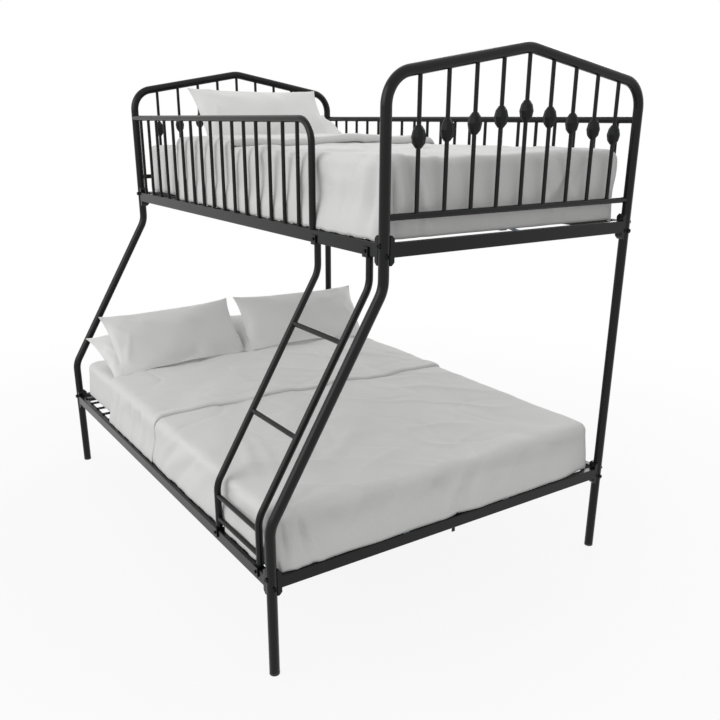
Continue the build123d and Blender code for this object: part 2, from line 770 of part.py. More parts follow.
# Angle tabs between the stiles' ends and the rails, and the bolts that hold them
with BuildPart() as ladder_tabs:
    for _, x in stiles:
        for _, middle, front, _ in levels:
            outer = front - rail_thickness / 2
            face = 1 if middle < leg_joint_height else -1
            seat = middle + face * rail_height / 2
            with BuildSketch(Plane.YZ.offset(x)):
                with BuildLine():
                    Polyline(
                        (outer + tab_reach, seat),
                        (outer + tab_reach, seat + face * tab_thickness),
                        (outer - tab_thickness, seat + face * tab_thickness),
                        (outer - tab_thickness, seat - face * (tab_drop - tab_thickness)),
                        (outer, seat - face * (tab_drop - tab_thickness)),
                        (outer, seat),
                        close=True,
                    )
                make_face()
            extrude(amount=tab_width / 2, both=True)
            start = ladder_bolt_start(x, middle, front)
            add(rod(start, (0, 1, 0), tab_thickness, ladder_bolt_diameter), mode=Mode.SUBTRACT)
save(ladder_tabs, "ladder_tabs")

with BuildPart() as ladder_bolts:
    for _, x in stiles:
        for _, middle, front, _ in levels:
            start = ladder_bolt_start(x, middle, front)
            shank_length = tab_thickness + rail_wall + ladder_bolt_end
            add(rod(start, (0, 1, 0), shank_length, ladder_bolt_diameter))
            add(rod(start, (0, -1, 0), ladder_bolt_head_height, ladder_bolt_head_diameter))
save(ladder_bolts, "ladder_bolts")


# Bedding: soft blocks with rounded corners and edges
def soft_block(y_middle, bottom, top, length, width, corner, edge):
    """A block centred along the bed, rounded in plan and round its top edges."""
    with BuildPart() as block:
        with BuildSketch(Plane((0, y_middle, bottom))):
            RectangleRounded(length, width, corner)
        extrude(amount=top - bottom)
        fillet(block.edges().group_by(Axis.Z)[-1], radius=edge)
    return block.part


def grown_block(y_middle, bottom, top, width, growth, rise):
    """A soft block as much larger than the mattress as growth on its sides and rise on its top."""
    length = mattress_length + 2 * growth
    corner = mattress_corner_radius + growth
    edge = mattress_edge_radius + min(growth, rise)
    return soft_block(y_middle, bottom, top + rise, length, width + 2 * growth, corner, edge)


def band_of(x_from, x_to, y_middle, width):
    """A plain box over one stretch of a bed's length, from the floor to above everything."""
    with BuildPart() as box:
        with Locations(((x_from + x_to) / 2, y_middle, overall_height / 2)):
            Box(x_to - x_from, width, overall_height)
    return box.part


beds = (
    (
        "lower",
        0.0,
        lower_rail_top,
        lower_bed_height,
        lower_mattress_top,
        lower_width_between_posts - 2 * lower_mattress_side_gap,
        lower_duvet_thickness,
        lower_turnback_thickness,
    ),
    (
        "upper",
        y_upper_middle,
        upper_rail_top,
        upper_bed_height,
        upper_mattress_top,
        upper_width_between_posts - 2 * upper_mattress_side_gap,
        upper_duvet_thickness,
        upper_turnback_thickness,
    ),
)
for level, y_middle, rail_top, bottom, top, width, thickness, turnback in beds:
    with BuildPart() as mattress:
        size = (mattress_length, width)
        add(soft_block(y_middle, bottom, top, *size, mattress_corner_radius, mattress_edge_radius))
        fillet(mattress.edges().group_by(Axis.Z)[0], radius=mattress_bottom_radius)
    save(mattress, f"{level}_mattress")

    # The duvet covers the foot part and is folded back on itself towards the pillows
    hem = rail_top + slat_tab_thickness + rivet_head_height + rest_gap
    reach = rest_gap + duvet_side_thickness
    rise = rest_gap + thickness
    far = x_end + width
    with BuildPart() as duvet:
        add(grown_block(y_middle, hem, top, width, reach, rise))
        fold_reach = reach + turnback_side_thickness
        with BuildPart(mode=Mode.PRIVATE) as fold:
            add(grown_block(y_middle, hem, top, width, fold_reach, rise + turnback))
            add(band_of(duvet_head_end, turnback_foot_end, y_middle, far), mode=Mode.INTERSECT)
        add(fold.part)
        add(band_of(-far, duvet_head_end, y_middle, far), mode=Mode.SUBTRACT)
        add(grown_block(y_middle, 0, top, width, rest_gap, rest_gap), mode=Mode.SUBTRACT)
    save(duvet, f"{level}_duvet")


# Pillows: loose cushions with a crowned middle and thin seams, leaning in two rows at the head
def pillow(middle, lean, turn):
    """One pillow, facing the foot end, leaning back and turned by angles in degrees."""
    tilt = radians(lean)
    swing = radians(turn)
    facing = Vector(cos(swing), sin(swing), 0)
    across = Vector(-sin(swing), cos(swing), 0)
    upward = facing * -cos(tilt) + Vector(0, 0, sin(tilt))
    with BuildPart() as cushion:
        for place, height_share, thickness_share in pillow_section_shares:
            half_height = height_share * pillow_height / 2
            half_crown = (thickness_share * pillow_thickness + pillow_seam_thickness) / 2
            half_seam = pillow_seam_thickness / 2
            origin = middle + across * (place * pillow_width)
            with BuildSketch(Plane(origin, x_dir=upward, z_dir=across)):
                with BuildLine():
                    ThreePointArc((-half_height, half_seam), (0, half_crown), (half_height, half_seam))
                    Line((half_height, half_seam), (half_height, -half_seam))
                    ThreePointArc((half_height, -half_seam), (0, -half_crown), (-half_height, -half_seam))
                    Line((-half_height, -half_seam), (-half_height, half_seam))
                make_face()
        loft()
    return cushion.part


pillow_rows = (
    # Bed, place and which way it turns, then the offsets across the bed of its back and front pillow
    ("lower", "near", pillow_turn, (lower_back_pillow_offsets[0], lower_front_pillow_offsets[0])),
    ("lower", "far", -pillow_turn, (lower_back_pillow_offsets[1], lower_front_pillow_offsets[1])),
    ("upper", "", 0.0, (upper_back_pillow_offset, upper_front_pillow_offset)),
)
for level, y_middle, _, _, top, width, _, _ in beds:
    laid = [grown_block(y_middle, 0, top, width, rest_gap, rest_gap)]
    layers = (
        ("back", back_pillow_inset, back_pillow_rise, back_pillow_lean),
        ("front", front_pillow_inset, front_pillow_rise, front_pillow_lean),
    )
    for layer, (row, inset, rise, lean) in enumerate(layers):
        for bed, place, turn, offsets in pillow_rows:
            if bed != level:
                continue
            middle = Vector(inset - x_end, y_middle + offsets[layer], top + rise)
            with BuildPart() as whole_pillow:
                add(pillow(middle, lean, turn))
                for body in laid:
                    add(body, mode=Mode.SUBTRACT)
            with BuildPart() as bed_pillow:
                add(whole_pillow.solids().sort_by(SortBy.VOLUME)[-1])
            laid.append(bed_pillow.part)
            name = f"{level}_{place}_{row}_pillow" if place else f"{level}_{row}_pillow"
            save(bed_pillow, name)
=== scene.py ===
"""Looks of a bunk bed: the finish of its steel frame, its bedding and a plain studio.

Lengths are in millimetres in the frame's own axes: X from the head end to the foot end, Y from the ladder
side to the back, Z up. They turn to metres where a mesh, lamp or camera takes them.
"""

import math

import bmesh
import bpy
import numpy as np
from bpy.props import FloatProperty, FloatVectorProperty, PointerProperty
from mathutils import Matrix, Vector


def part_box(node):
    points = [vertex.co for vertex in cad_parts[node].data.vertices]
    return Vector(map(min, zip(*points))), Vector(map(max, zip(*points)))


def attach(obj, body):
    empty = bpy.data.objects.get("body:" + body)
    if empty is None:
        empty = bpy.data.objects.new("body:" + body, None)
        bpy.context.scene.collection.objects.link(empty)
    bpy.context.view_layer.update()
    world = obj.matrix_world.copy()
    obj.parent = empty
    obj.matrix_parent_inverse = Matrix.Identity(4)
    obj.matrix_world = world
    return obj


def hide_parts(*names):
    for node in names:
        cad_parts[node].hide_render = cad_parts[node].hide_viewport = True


bl_info = {
    "name": "Bunk Bed Looks",
    "version": (1, 0, 0),
    "blender": (4, 5, 0),
    "location": "3D View > Sidebar > Bunk Bed",
    "description": "Finishes the steel frame of a bunk bed and makes its bedding",
    "category": "Object",
}

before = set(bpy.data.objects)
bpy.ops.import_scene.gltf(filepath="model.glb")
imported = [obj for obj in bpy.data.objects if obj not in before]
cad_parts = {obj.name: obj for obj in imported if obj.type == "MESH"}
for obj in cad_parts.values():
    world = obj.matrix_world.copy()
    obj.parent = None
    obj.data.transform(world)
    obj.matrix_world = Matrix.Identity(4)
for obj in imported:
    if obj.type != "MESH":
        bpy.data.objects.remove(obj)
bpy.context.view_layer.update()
MM = 0.001
TURN = 2 * math.pi


def box_mm(node):
    """Lowest and highest corner of a CAD node, in millimetres."""
    low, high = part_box(node)
    return np.array(low) / MM, np.array(high) / MM


# Colours


def linear(hex_code):
    """An sRGB hex colour as linear red, green, blue and alpha."""
    parts = [int(hex_code[i : i + 2], 16) / 255 for i in (1, 3, 5)]
    return [c / 12.92 if c <= 0.04045 else ((c + 0.055) / 1.055) ** 2.4 for c in parts] + [1.0]


POWDER_BLACK = "#090a0a"
CAST_BLACK = "#0b0c0d"
ZINC_BLACK = "#161718"
NYLON_BLACK = "#161617"
STEEL_GREY = "#8d8e90"
WEBBING_BLUE_GREY = "#5b6874"
PERCALE_WHITE = "#cdcdcc"
SHEET_WHITE = "#d0d0cf"
PILLOW_WHITE = "#d5d5d4"
FLOOR_WHITE = "#bcbcbb"


def colour_setting(name, description, hex_code):
    """A colour that the panel shows."""
    return FloatVectorProperty(
        name=name, description=description, subtype="COLOR", size=4, min=0, max=1, default=linear(hex_code)
    )


def size_setting(name, description, default, low=0.0):
    """A length in millimetres that the panel shows."""
    return FloatProperty(name=name, description=description, default=default, min=low, max=5000.0)


def angle_setting(name, description, degrees):
    """An angle that the panel shows."""
    return FloatProperty(name=name, description=description, default=math.radians(degrees), subtype="ANGLE")


class FrameFinish(bpy.types.PropertyGroup):
    """Colours of the frame's finishes."""

    powder: colour_setting("Powder coat", "Satin black of the tubes and rails", POWDER_BLACK)
    cast: colour_setting("Castings", "Black of the cast knots", CAST_BLACK)
    zinc: colour_setting("Fasteners", "Black zinc of bolts and rivets", ZINC_BLACK)
    nylon: colour_setting("Plastic", "Black of the caps and clips", NYLON_BLACK)
    steel: colour_setting("Bare steel", "Sleeves inside the joints", STEEL_GREY)
    webbing: colour_setting("Webbing", "Blue-grey of the slat straps", WEBBING_BLUE_GREY)


class BeddingLooks(bpy.types.PropertyGroup):
    """Sizes and colours of the bedding."""

    sheet: colour_setting("Fitted sheet", "Cotton of the fitted sheets", SHEET_WHITE)
    duvet: colour_setting("Duvet", "Cotton percale of the duvet covers", PERCALE_WHITE)
    pillow: colour_setting("Pillow", "Cotton of the pillow cases", PILLOW_WHITE)
    loose: size_setting("Loose sheet", "How far a fitted sheet stands off the foot of a mattress", 8.0)
    cell: size_setting("Mesh cell", "Length of one quad of the bedding", 9.0, 4.0)
    cover: size_setting("Cover thickness", "Thickness of a duvet at its hem", 6.0)
    cover_start: size_setting("Cover start", "Where along the bed the lower layer starts", -310.0, -900.0)
    hem_draw: size_setting("Hem draw", "How far the cloth lies inside its CAD solid", 3.0)
    ripple: size_setting("Ripple height", "Height of the soft swells on a duvet's top", 6.2)
    hang: size_setting("Fold height", "Height of the upright folds on a duvet's sides", 3.2)
    flare: size_setting("Hem flare", "How far a duvet's hem spreads over the rails", 18.0)
    pleat: size_setting("Corner pleats", "Depth of the pleats round a duvet's foot corner", 13.0)
    soften: size_setting("Soft edge", "How far a duvet's top edge is drawn in", 5.0)
    side_rise: size_setting("Turned-back side rise", "How far the turned-back part stands off the sides", 5.0)
    turnback: size_setting("Turned-back rise", "How far the lower turned-back part stands up", 12.0)
    upper_turnback: size_setting("Upper turned-back rise", "The same on the upper bunk", 26.0)
    pillow_width: size_setting("Pillow width", "Width of a pillow from corner to corner", 668.0)
    pillow_height: size_setting("Pillow height", "Height of a pillow from corner to corner", 340.0)
    pillow_crown: size_setting("Pillow crown", "Thickness at the middle of a pillow", 122.0)
    front_lean: angle_setting("Front lean", "How steeply the front pillows lean", 52.0)
    back_lean: angle_setting("Back lean", "How steeply the back pillows lean", 24.0)
    pillow_turn: angle_setting("Pillow turn", "How far the lower pillows turn to the middle", 5.5)


class StudioLooks(bpy.types.PropertyGroup):
    """Floor and lamps."""

    floor: colour_setting("Floor", "Pale studio floor", FLOOR_WHITE)
    world_level: FloatProperty(name="World level", description="Light from all round", default=0.79, min=0)
    key_level: FloatProperty(name="Key level", description="Watts of the front lamp", default=143.0, min=0)
    back_level: FloatProperty(name="Back level", description="Watts of the back lamp", default=104.0, min=0)


# Material helpers


def add_node(tree, kind, settings=None, links=None):
    """One shader node. Settings are its attributes or socket values, and links are outputs that feed it.

    Sockets that share a name are linked by number.
    """
    node = tree.nodes.new("ShaderNode" + kind)
    for name, value in (settings or {}).items():
        if name in node.inputs:
            node.inputs[name].default_value = value
        else:
            setattr(node, name, value)
    for name, output in (links or {}).items():
        tree.links.new(output, node.inputs[name])
    return node


def add_math(tree, operation, first, second):
    """The result of an operation on two sockets."""
    return add_node(tree, "Math", {"operation": operation}, {0: first, 1: second}).outputs[0]


def add_noise(tree, place, size_mm, detail):
    """Noise from 0 to 1 with features of a size in millimetres, on coordinates in metres."""
    settings = {"Scale": 1 / (size_mm * MM), "Detail": detail}
    return add_node(tree, "TexNoise", settings, {"Vector": place}).outputs["Fac"]


def add_range(tree, value, low, high):
    """Takes a socket's value from 0 to 1 to a range."""
    return add_node(tree, "MapRange", {"To Min": low, "To Max": high}, {"Value": value}).outputs["Result"]


def add_tone(tree, shader, colour, shade):
    """Gives a shader its colour, times a socket's shade."""
    settings = {"data_type": "RGBA", "blend_type": "MULTIPLY", "Factor": 1.0}
    tone = add_node(tree, "Mix", settings, {7: shade})
    tone.inputs[6].default_value = colour
    tree.links.new(tone.outputs[2], shader.inputs["Base Color"])


def add_bump(tree, shader, height, strength, depth_mm):
    """Gives a shader the fine relief of a socket's height."""
    settings = {"Strength": strength, "Distance": depth_mm * MM}
    bump = add_node(tree, "Bump", settings, {"Height": height})
    tree.links.new(bump.outputs["Normal"], shader.inputs["Normal"])


def new_material(name, **values):
    """A material with its tree, its shader with socket values, and the socket of its object coordinates."""
    material = bpy.data.materials.new(name)
    material.use_nodes = True
    tree = material.node_tree
    tree.nodes.clear()
    settings = {socket.replace("_", " "): value for socket, value in values.items()}
    shader = add_node(tree, "BsdfPrincipled", settings)
    add_node(tree, "OutputMaterial", links={"Surface": shader.outputs["BSDF"]})
    return material, tree, shader, add_node(tree, "TexCoord").outputs["Object"]


def powder_coat(name, colour, roughness, grain_mm, depth_mm):
    """Polyester powder coat, baked on steel: satin, with a fine orange peel, drawn coarse enough to show.

    Its IOR is below that of a clear polyester, because the carbon black in it dulls the reflections.
    """
    material, tree, shader, place = new_material(name, IOR=1.33)
    drift = add_noise(tree, place, 90.0, 2.0)
    add_tone(tree, shader, colour, add_range(tree, drift, 0.88, 1.14))
    rough = add_range(tree, drift, roughness - 0.04, roughness + 0.06)
    tree.links.new(rough, shader.inputs["Roughness"])
    add_bump(tree, shader, add_noise(tree, place, grain_mm, 3.0), 0.35, depth_mm)
    return material


def zinc_plate(name, colour):
    """Black zinc plating on steel: a thin dark metal skin with a little sheen and fine draw marks."""
    material, tree, shader, place = new_material(name, Base_Color=colour, Metallic=0.8)
    rough = add_range(tree, add_noise(tree, place, 2.0, 4.0), 0.3, 0.46)
    tree.links.new(rough, shader.inputs["Roughness"])
    return material


def moulded_nylon(name, colour):
    """Injection-moulded nylon: matte, with the faint spark-eroded grain of its mould."""
    material, tree, shader, place = new_material(name, Base_Color=colour, Roughness=0.6, IOR=1.53)
    add_bump(tree, shader, add_noise(tree, place, 0.9, 2.0), 0.4, 0.1)
    return material


def woven(name, colour, spacing_mm, depth_mm, sheen, roughness, slub_mm):
    """Plain-woven cloth with slubs: crossed sets of threads, drawn coarser than real ones to show."""
    values = {"Roughness": roughness, "Sheen_Weight": sheen, "Sheen_Roughness": 0.5}
    material, tree, shader, place = new_material(name, **values)
    # A wave texture turns 20 radians per unit of place and scale
    waves = {"wave_type": "BANDS", "Scale": TURN / 20 / (spacing_mm * MM), "Distortion": 0.6, "Detail": 1.0}
    threads = [
        add_node(tree, "TexWave", {**waves, "bands_direction": axis}, {"Vector": place}).outputs["Fac"]
        for axis in "XYZ"
    ]
    crossed = add_math(tree, "MAXIMUM", add_math(tree, "MAXIMUM", *threads[:2]), threads[2])
    add_tone(tree, shader, colour, add_range(tree, add_noise(tree, place, slub_mm, 4.0), 0.955, 1.03))
    add_bump(tree, shader, crossed, 0.3, depth_mm)
    return material


def paint_nodes(names, material):
    """Gives CAD nodes a material in every slot."""
    for name in names:
        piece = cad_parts[name]
        if not piece.material_slots:
            piece.data.materials.append(material)
        for slot in piece.material_slots:
            slot.material = material


def nodes_like(*words):
    """Names of the CAD nodes that hold one of the words."""
    return sorted(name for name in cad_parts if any(word in name for word in words))


# Mesh helpers


def grid_faces(index):
    """Quads between the points of a grid of indices."""
    return np.stack([index[:-1, :-1], index[1:, :-1], index[1:, 1:], index[:-1, 1:]], axis=-1).reshape(-1, 4)


def row_index(shape):
    """Indices of a grid's points, counted along its rows."""
    return np.arange(shape[0] * shape[1]).reshape(shape)


def make_mesh(name, points, faces):
    """An object at the origin with a smooth-shaded mesh of points in millimetres."""
    mesh = bpy.data.meshes.new(name)
    mesh.from_pydata((np.asarray(points).reshape(-1, 3) * MM).tolist(), [], np.asarray(faces).tolist())
    mesh.validate()
    mesh.polygons.foreach_set("use_smooth", np.ones(len(mesh.polygons), dtype=bool))
    piece = bpy.data.objects.new(name, mesh)
    bpy.context.scene.collection.objects.link(piece)
    return piece


def cloth_mesh(name, places):
    """An object with a mesh of a whole grid of points."""
    return make_mesh(name, places, grid_faces(row_index(places.shape[:2])))


def weld(piece, distance=0.02):
    """Merges points of a mesh that lie within a distance of each other, and faces it outward."""
    bm = bmesh.new()
    bm.from_mesh(piece.data)
    bmesh.ops.remove_doubles(bm, verts=bm.verts, dist=distance * MM)
    bmesh.ops.recalc_face_normals(bm, faces=bm.faces)
    bm.to_mesh(piece.data)
    bm.free()


def give_thickness(piece, thickness):
    """Closes a cloth surface with its own thickness, on its inner side."""
    solid = piece.modifiers.new("Thickness", "SOLIDIFY")
    solid.thickness = thickness * MM
    solid.offset = -1
    solid.use_even_offset = False


def dress(piece, material, slot, *nodes):
    """Gives a new piece its material, lets it ride on the bed, and hides the nodes it stands for. Its slot is
    not used.
    """
    piece.data.materials.append(material)
    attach(piece, "root")
    if nodes:
        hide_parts(*nodes)


# Sizes of the bedding that the panel doesn't show

BEDS = ("lower", "upper")
MATTRESS_CORNER = 60.0
MATTRESS_EDGE = 24.0
MATTRESS_BOTTOM_EDGE = 10.0
DUVET_CORNER = 34.0
# A duvet's hem: how far it hangs below its CAD solid, sags between the slats and droops at the foot corners
HEM_DROP = 3.2
HEM_SAG = 2.2
CORNER_DROOP = 9.0
FOOT_FLARE = 13.0
# Lengths over which swells give way to upright folds, the hem flares, and the top edge is softened
FADE_LENGTH = 170.0
FLARE_HEIGHT = 110.0
EDGE_WIDTH = 55.0
# Shares by which folds lessen at the hem, and swells and the foot's flare along the back
HEM_CALM = 0.72
BACK_CALM = 0.6
BACK_FLARE_CALM = 0.75
BACK_WIDTH = 220.0
# Creases that fan out over a duvet's top from its front foot corner
FAN_INSET = 20.0
FAN_REACH = 900.0
FAN_WIDTH = 20.0
FAN_CREASES = 7
FAN_SHARE = 0.95
# Half width of what stands between the sags of the hem: a slat's end, and the hook of the centre rail
SLAT_HALF = 14.0
HOOK_HALF = 10.0
# Gaps between the hem and what it lies over or beside
RAIL_GAP = 0.6
BRACKET_GAP = 1.0
STILE_GAP = 2.0
# How far cloth bulges out again on both sides of a stile, and the lengths from it and over which it does
STILE_BULGE = 14.0
STILE_MARGIN = 30.0
STILE_FADE = 25.0
# The turned-back part: where it starts, how far it follows the pillows there and is drawn back on the sides
TURNBACK_START = -572.0
PILLOW_FOLLOW = {"lower": 66.0, "upper": 24.0}
SIDE_DRAW = 37.0
# How far its cloth curls at both edges, and a shallow valley behind its hem line
HEAD_CURL = 30.0
HEM_CURL = 12.0
VALLEY_DEPTH = 3.0
VALLEY_PLACE = 46.0
VALLEY_LEAN = 0.05
VALLEY_WIDTH = 13.0
# Folds: place round the sides, from the foot corner or along the bed, lean, half-width and share of height
CORNER_PLEATS = (
    (-70, -0.15, 18, 0.6),
    (-32, -0.1, 13, -0.6),
    (0, 0, 15, 0.9),
    (27, 0, 10, -1.1),
    (47, 0.04, 11, 0.7),
    (68, 0.23, 9, -1.1),
    (88, 0.28, 15, 0.7),
    (150, 0.45, 36, -0.4),
    (230, 0.6, 50, 0.45),
    (540, 0.7, 24, -0.6),
    (615, 0.8, 28, 0.6),
    (770, -0.8, 22, 0.6),
    (835, -0.7, 26, -0.6),
    (1000, -0.5, 40, 0.4),
)
SIDE_FOLDS = {
    "lower": (
        (-462, 0.12, 20, 0.8),
        (-415, 0.05, 14, -0.9),
        (-368, -0.02, 20, 0.8),
        (-268, 0, 15, -0.8),
        (-228, -0.02, 17, 0.9),
        (-146, -0.06, 18, -0.8),
        (-96, -0.05, 20, 0.8),
        (170, -0.45, 42, 0.6),
        (250, -0.8, 26, -0.6),
        (330, -1, 46, 0.9),
        (420, -1, 30, -0.7),
        (520, -0.8, 48, 0.7),
        (640, -0.4, 40, -0.5),
        (735, -0.25, 36, 0.6),
    ),
    "upper": (
        (-380, 0.06, 26, 0.4),
        (-210, 0, 30, 0.4),
        (60, -0.2, 40, 0.5),
        (250, -0.4, 45, -0.5),
        (520, -0.35, 50, 0.7),
        (640, -0.3, 34, -0.6),
        (735, -0.2, 34, 0.6),
    ),
}
SLAT_COUNT = 22
SLAT_TAB_WIDTH = 24.0


def slat_places(level):
    """Where the slats of a bed lie along it."""
    low, high = box_mm(f"{level}_slats")
    return np.linspace(low[0] + SLAT_TAB_WIDTH / 2, high[0] - SLAT_TAB_WIDTH / 2, SLAT_COUNT)


SLAT_PLACES = {level: slat_places(level) for level in BEDS}
# The hem of the turned-back part: places across the cloth, as shares from its front hem to its back hem
HEM_LINE_SHARES = np.array([0.0, 0.05, 0.1, 0.15, 0.2, 0.26, 0.344, 0.456, 0.569, 0.708, 0.861, 1.0])
HEM_LINE_PLACES = {
    "lower": np.array([-4.0, 12.0, 14.0, -10.0, -6.0, 4.0, 22.0, 20.0, 12.0, 26.0, 51.0, 45.0]),
    "upper": np.array([20.0, 10.0, 0.0, -26.0, -41.0, -59.0, -75.0, -82.0, -75.0, -62.0, -52.0, 0.0]),
}


# Cloth surfaces


def smooth_step(value):
    """From 0 to 1 as value goes from 0 to 1, level at both ends."""
    t = np.clip(value, 0.0, 1.0)
    return t * t * (3 - 2 * t)


def swell(points, wavelength, seed, waves=8):
    """A soft random field of about -1 to 1: plane waves in random directions, each near one wavelength."""
    rng = np.random.default_rng(seed)
    directions = rng.normal(size=(waves, 3))
    directions /= np.linalg.norm(directions, axis=1, keepdims=True)
    lengths = wavelength * rng.uniform(0.7, 1.4, waves)
    phases = rng.uniform(0, TURN, waves)
    turns = points @ (directions / lengths[:, None]).T * TURN + phases
    return np.sin(turns).sum(axis=-1) / math.sqrt(waves) / 1.2


def crease(points, wavelength, seed, width):
    """Narrow ridges from 0 to 1 along the lines where a swell, bent by a longer one, is zero."""
    bent = points + 0.25 * wavelength * swell(points, 2.2 * wavelength, seed + 50)[..., None]
    return np.exp(-((swell(bent, wavelength, seed) / width) ** 2))


def steps(start, stop, cell):
    """Evenly spaced values from start to stop, about one cell apart."""
    return np.linspace(start, stop, max(2, int(round((stop - start) / cell)) + 1))


class Block:
    """A rounded block that cloth lies over: its box, its corner radius in plan and its top edge radius.

    The inner rectangle ends where the corners start.
    """

    def __init__(self, low, high, corner, edge):
        self.low, self.high = low, high
        self.corner, self.edge = corner, edge
        self.inner_low, self.inner_high = low[:2] + corner, high[:2] - corner

    def depth_to(self, height):
        """Cloth length from the inner rectangle over the edge and down to a height."""
        return self.corner - self.edge + self.edge * math.pi / 2 + self.high[2] - self.edge - height

    def flat_cloth(self, height, cell, x_from=None):
        """Flat cloth points that reach down to a height on all sides, or from x_from to the foot end."""
        drop = self.depth_to(height)
        start = self.inner_low[0] - drop if x_from is None else x_from
        xs = steps(start, self.inner_high[0] + drop, cell)
        ys = steps(self.inner_low[1] - drop, self.inner_high[1] + drop, cell)
        return np.meshgrid(xs, ys, indexing="ij")

    def lay(self, x, y):
        """Lays flat cloth points over the block.

        Inside the inner rectangle a point stays above its own place. Outside it, the larger of its two
        distances is how far the cloth has run outwards and down, and their ratio turns it round the corner.
        Returns the places, the outward normals, how far each is over the edge, and how far it is round
        the sides, counted from the head along the front, the foot and the back.
        """
        qx = np.clip(x, self.inner_low[0], self.inner_high[0])
        qy = np.clip(y, self.inner_low[1], self.inner_high[1])
        dx, dy = x - qx, y - qy
        ax, ay = np.abs(dx), np.abs(dy)
        run = np.maximum(ax, ay)
        safe = np.where(run > 0, run, 1.0)
        share = np.where(ax >= ay, ay / safe, 2 - ax / safe)
        angle = share * math.pi / 4
        out_x = np.cos(angle) * np.sign(dx)
        out_y = np.sin(angle) * np.sign(dy)
        flat = self.corner - self.edge
        bend = np.clip((run - flat) / self.edge, 0, math.pi / 2)
        fall = np.maximum(run - flat - self.edge * math.pi / 2, 0)
        reach = np.minimum(run, flat) + self.edge * np.sin(bend)
        z = self.high[2] - self.edge * (1 - np.cos(bend)) - fall
        places = np.stack([qx + out_x * reach, qy + out_y * reach, z], axis=-1)
        side = np.sin(bend)
        normals = np.stack([out_x * side, out_y * side, np.cos(bend)], axis=-1)
        round_front = np.where(dy < 0, qx + self.corner * (math.pi / 2 - angle), 0)
        foot_start = self.inner_high[0] + self.corner * math.pi / 2
        round_foot = foot_start + (qy - self.inner_low[1])
        foot_end = foot_start + self.inner_high[1] - self.inner_low[1]
        round_back = foot_end + self.corner * angle + self.inner_high[0] - qx
        around = np.where(dy < 0, round_front, np.where(dy > 0, round_back, round_foot))
        return places, normals, run - flat, around


def level_relief(places, seed):
    """Soft swells, and creases that run into each other, on cloth that lies level: about -1 to 1."""
    soft = 0.8 * swell(places, 560, seed) + 0.7 * swell(places, 230, seed + 1)
    soft = soft + 0.18 * swell(places, 110, seed + 6)
    return soft + 0.85 * crease(places, 420, seed + 2, 0.22) - 0.5 * crease(places, 340, seed + 3, 0.13)


def hanging_relief(places, over, around, seed):
    """Upright folds on cloth that hangs, which lean a little on their way down: about -1 to 1."""
    along = np.stack([around + 0.3 * over, places[..., 2] * 0.35, np.zeros_like(around)], axis=-1)
    broad = 1.1 * swell(along, 260, seed) + 0.25 * swell(along, 110, seed + 1)
    return broad + 0.6 * crease(along, 300, seed + 2, 0.2) - 0.4 * crease(along, 240, seed + 3, 0.14)


def folds_at(rows, over, around, middle):
    """Folds that deepen downwards, from rows of place round the sides, lean, half-width and height."""
    height = np.zeros_like(over)
    for place, lean, width, size in rows:
        height = height + size * np.exp(-(((around - middle - place - lean * over) / width) ** 2))
    return height * smooth_step((over - 8) / 110.0)


def fan_of_creases(inward, sideways, reach, width, count, seed):
    """Stretched creases that fan out from a corner between two edges and bend as they run: from 0 to 1."""
    rng = np.random.default_rng(seed)
    run = np.hypot(inward, sideways)
    heading = np.arctan2(sideways, inward)
    height = np.zeros_like(run)
    for _ in range(count):
        line = rng.uniform(0.15, 1.35) + rng.uniform(-0.4, 0.4) * run / reach
        start, end = reach * rng.uniform(0.15, 0.35), reach * rng.uniform(0.6, 1.1)
        across = (heading - line) * run / (width * rng.uniform(0.8, 1.5))
        along = smooth_step((run - start) / (0.25 * reach)) * smooth_step((end - run) / (0.35 * reach))
        height = height + rng.uniform(0.5, 1.0) * np.exp(-(across**2)) * along
    return height


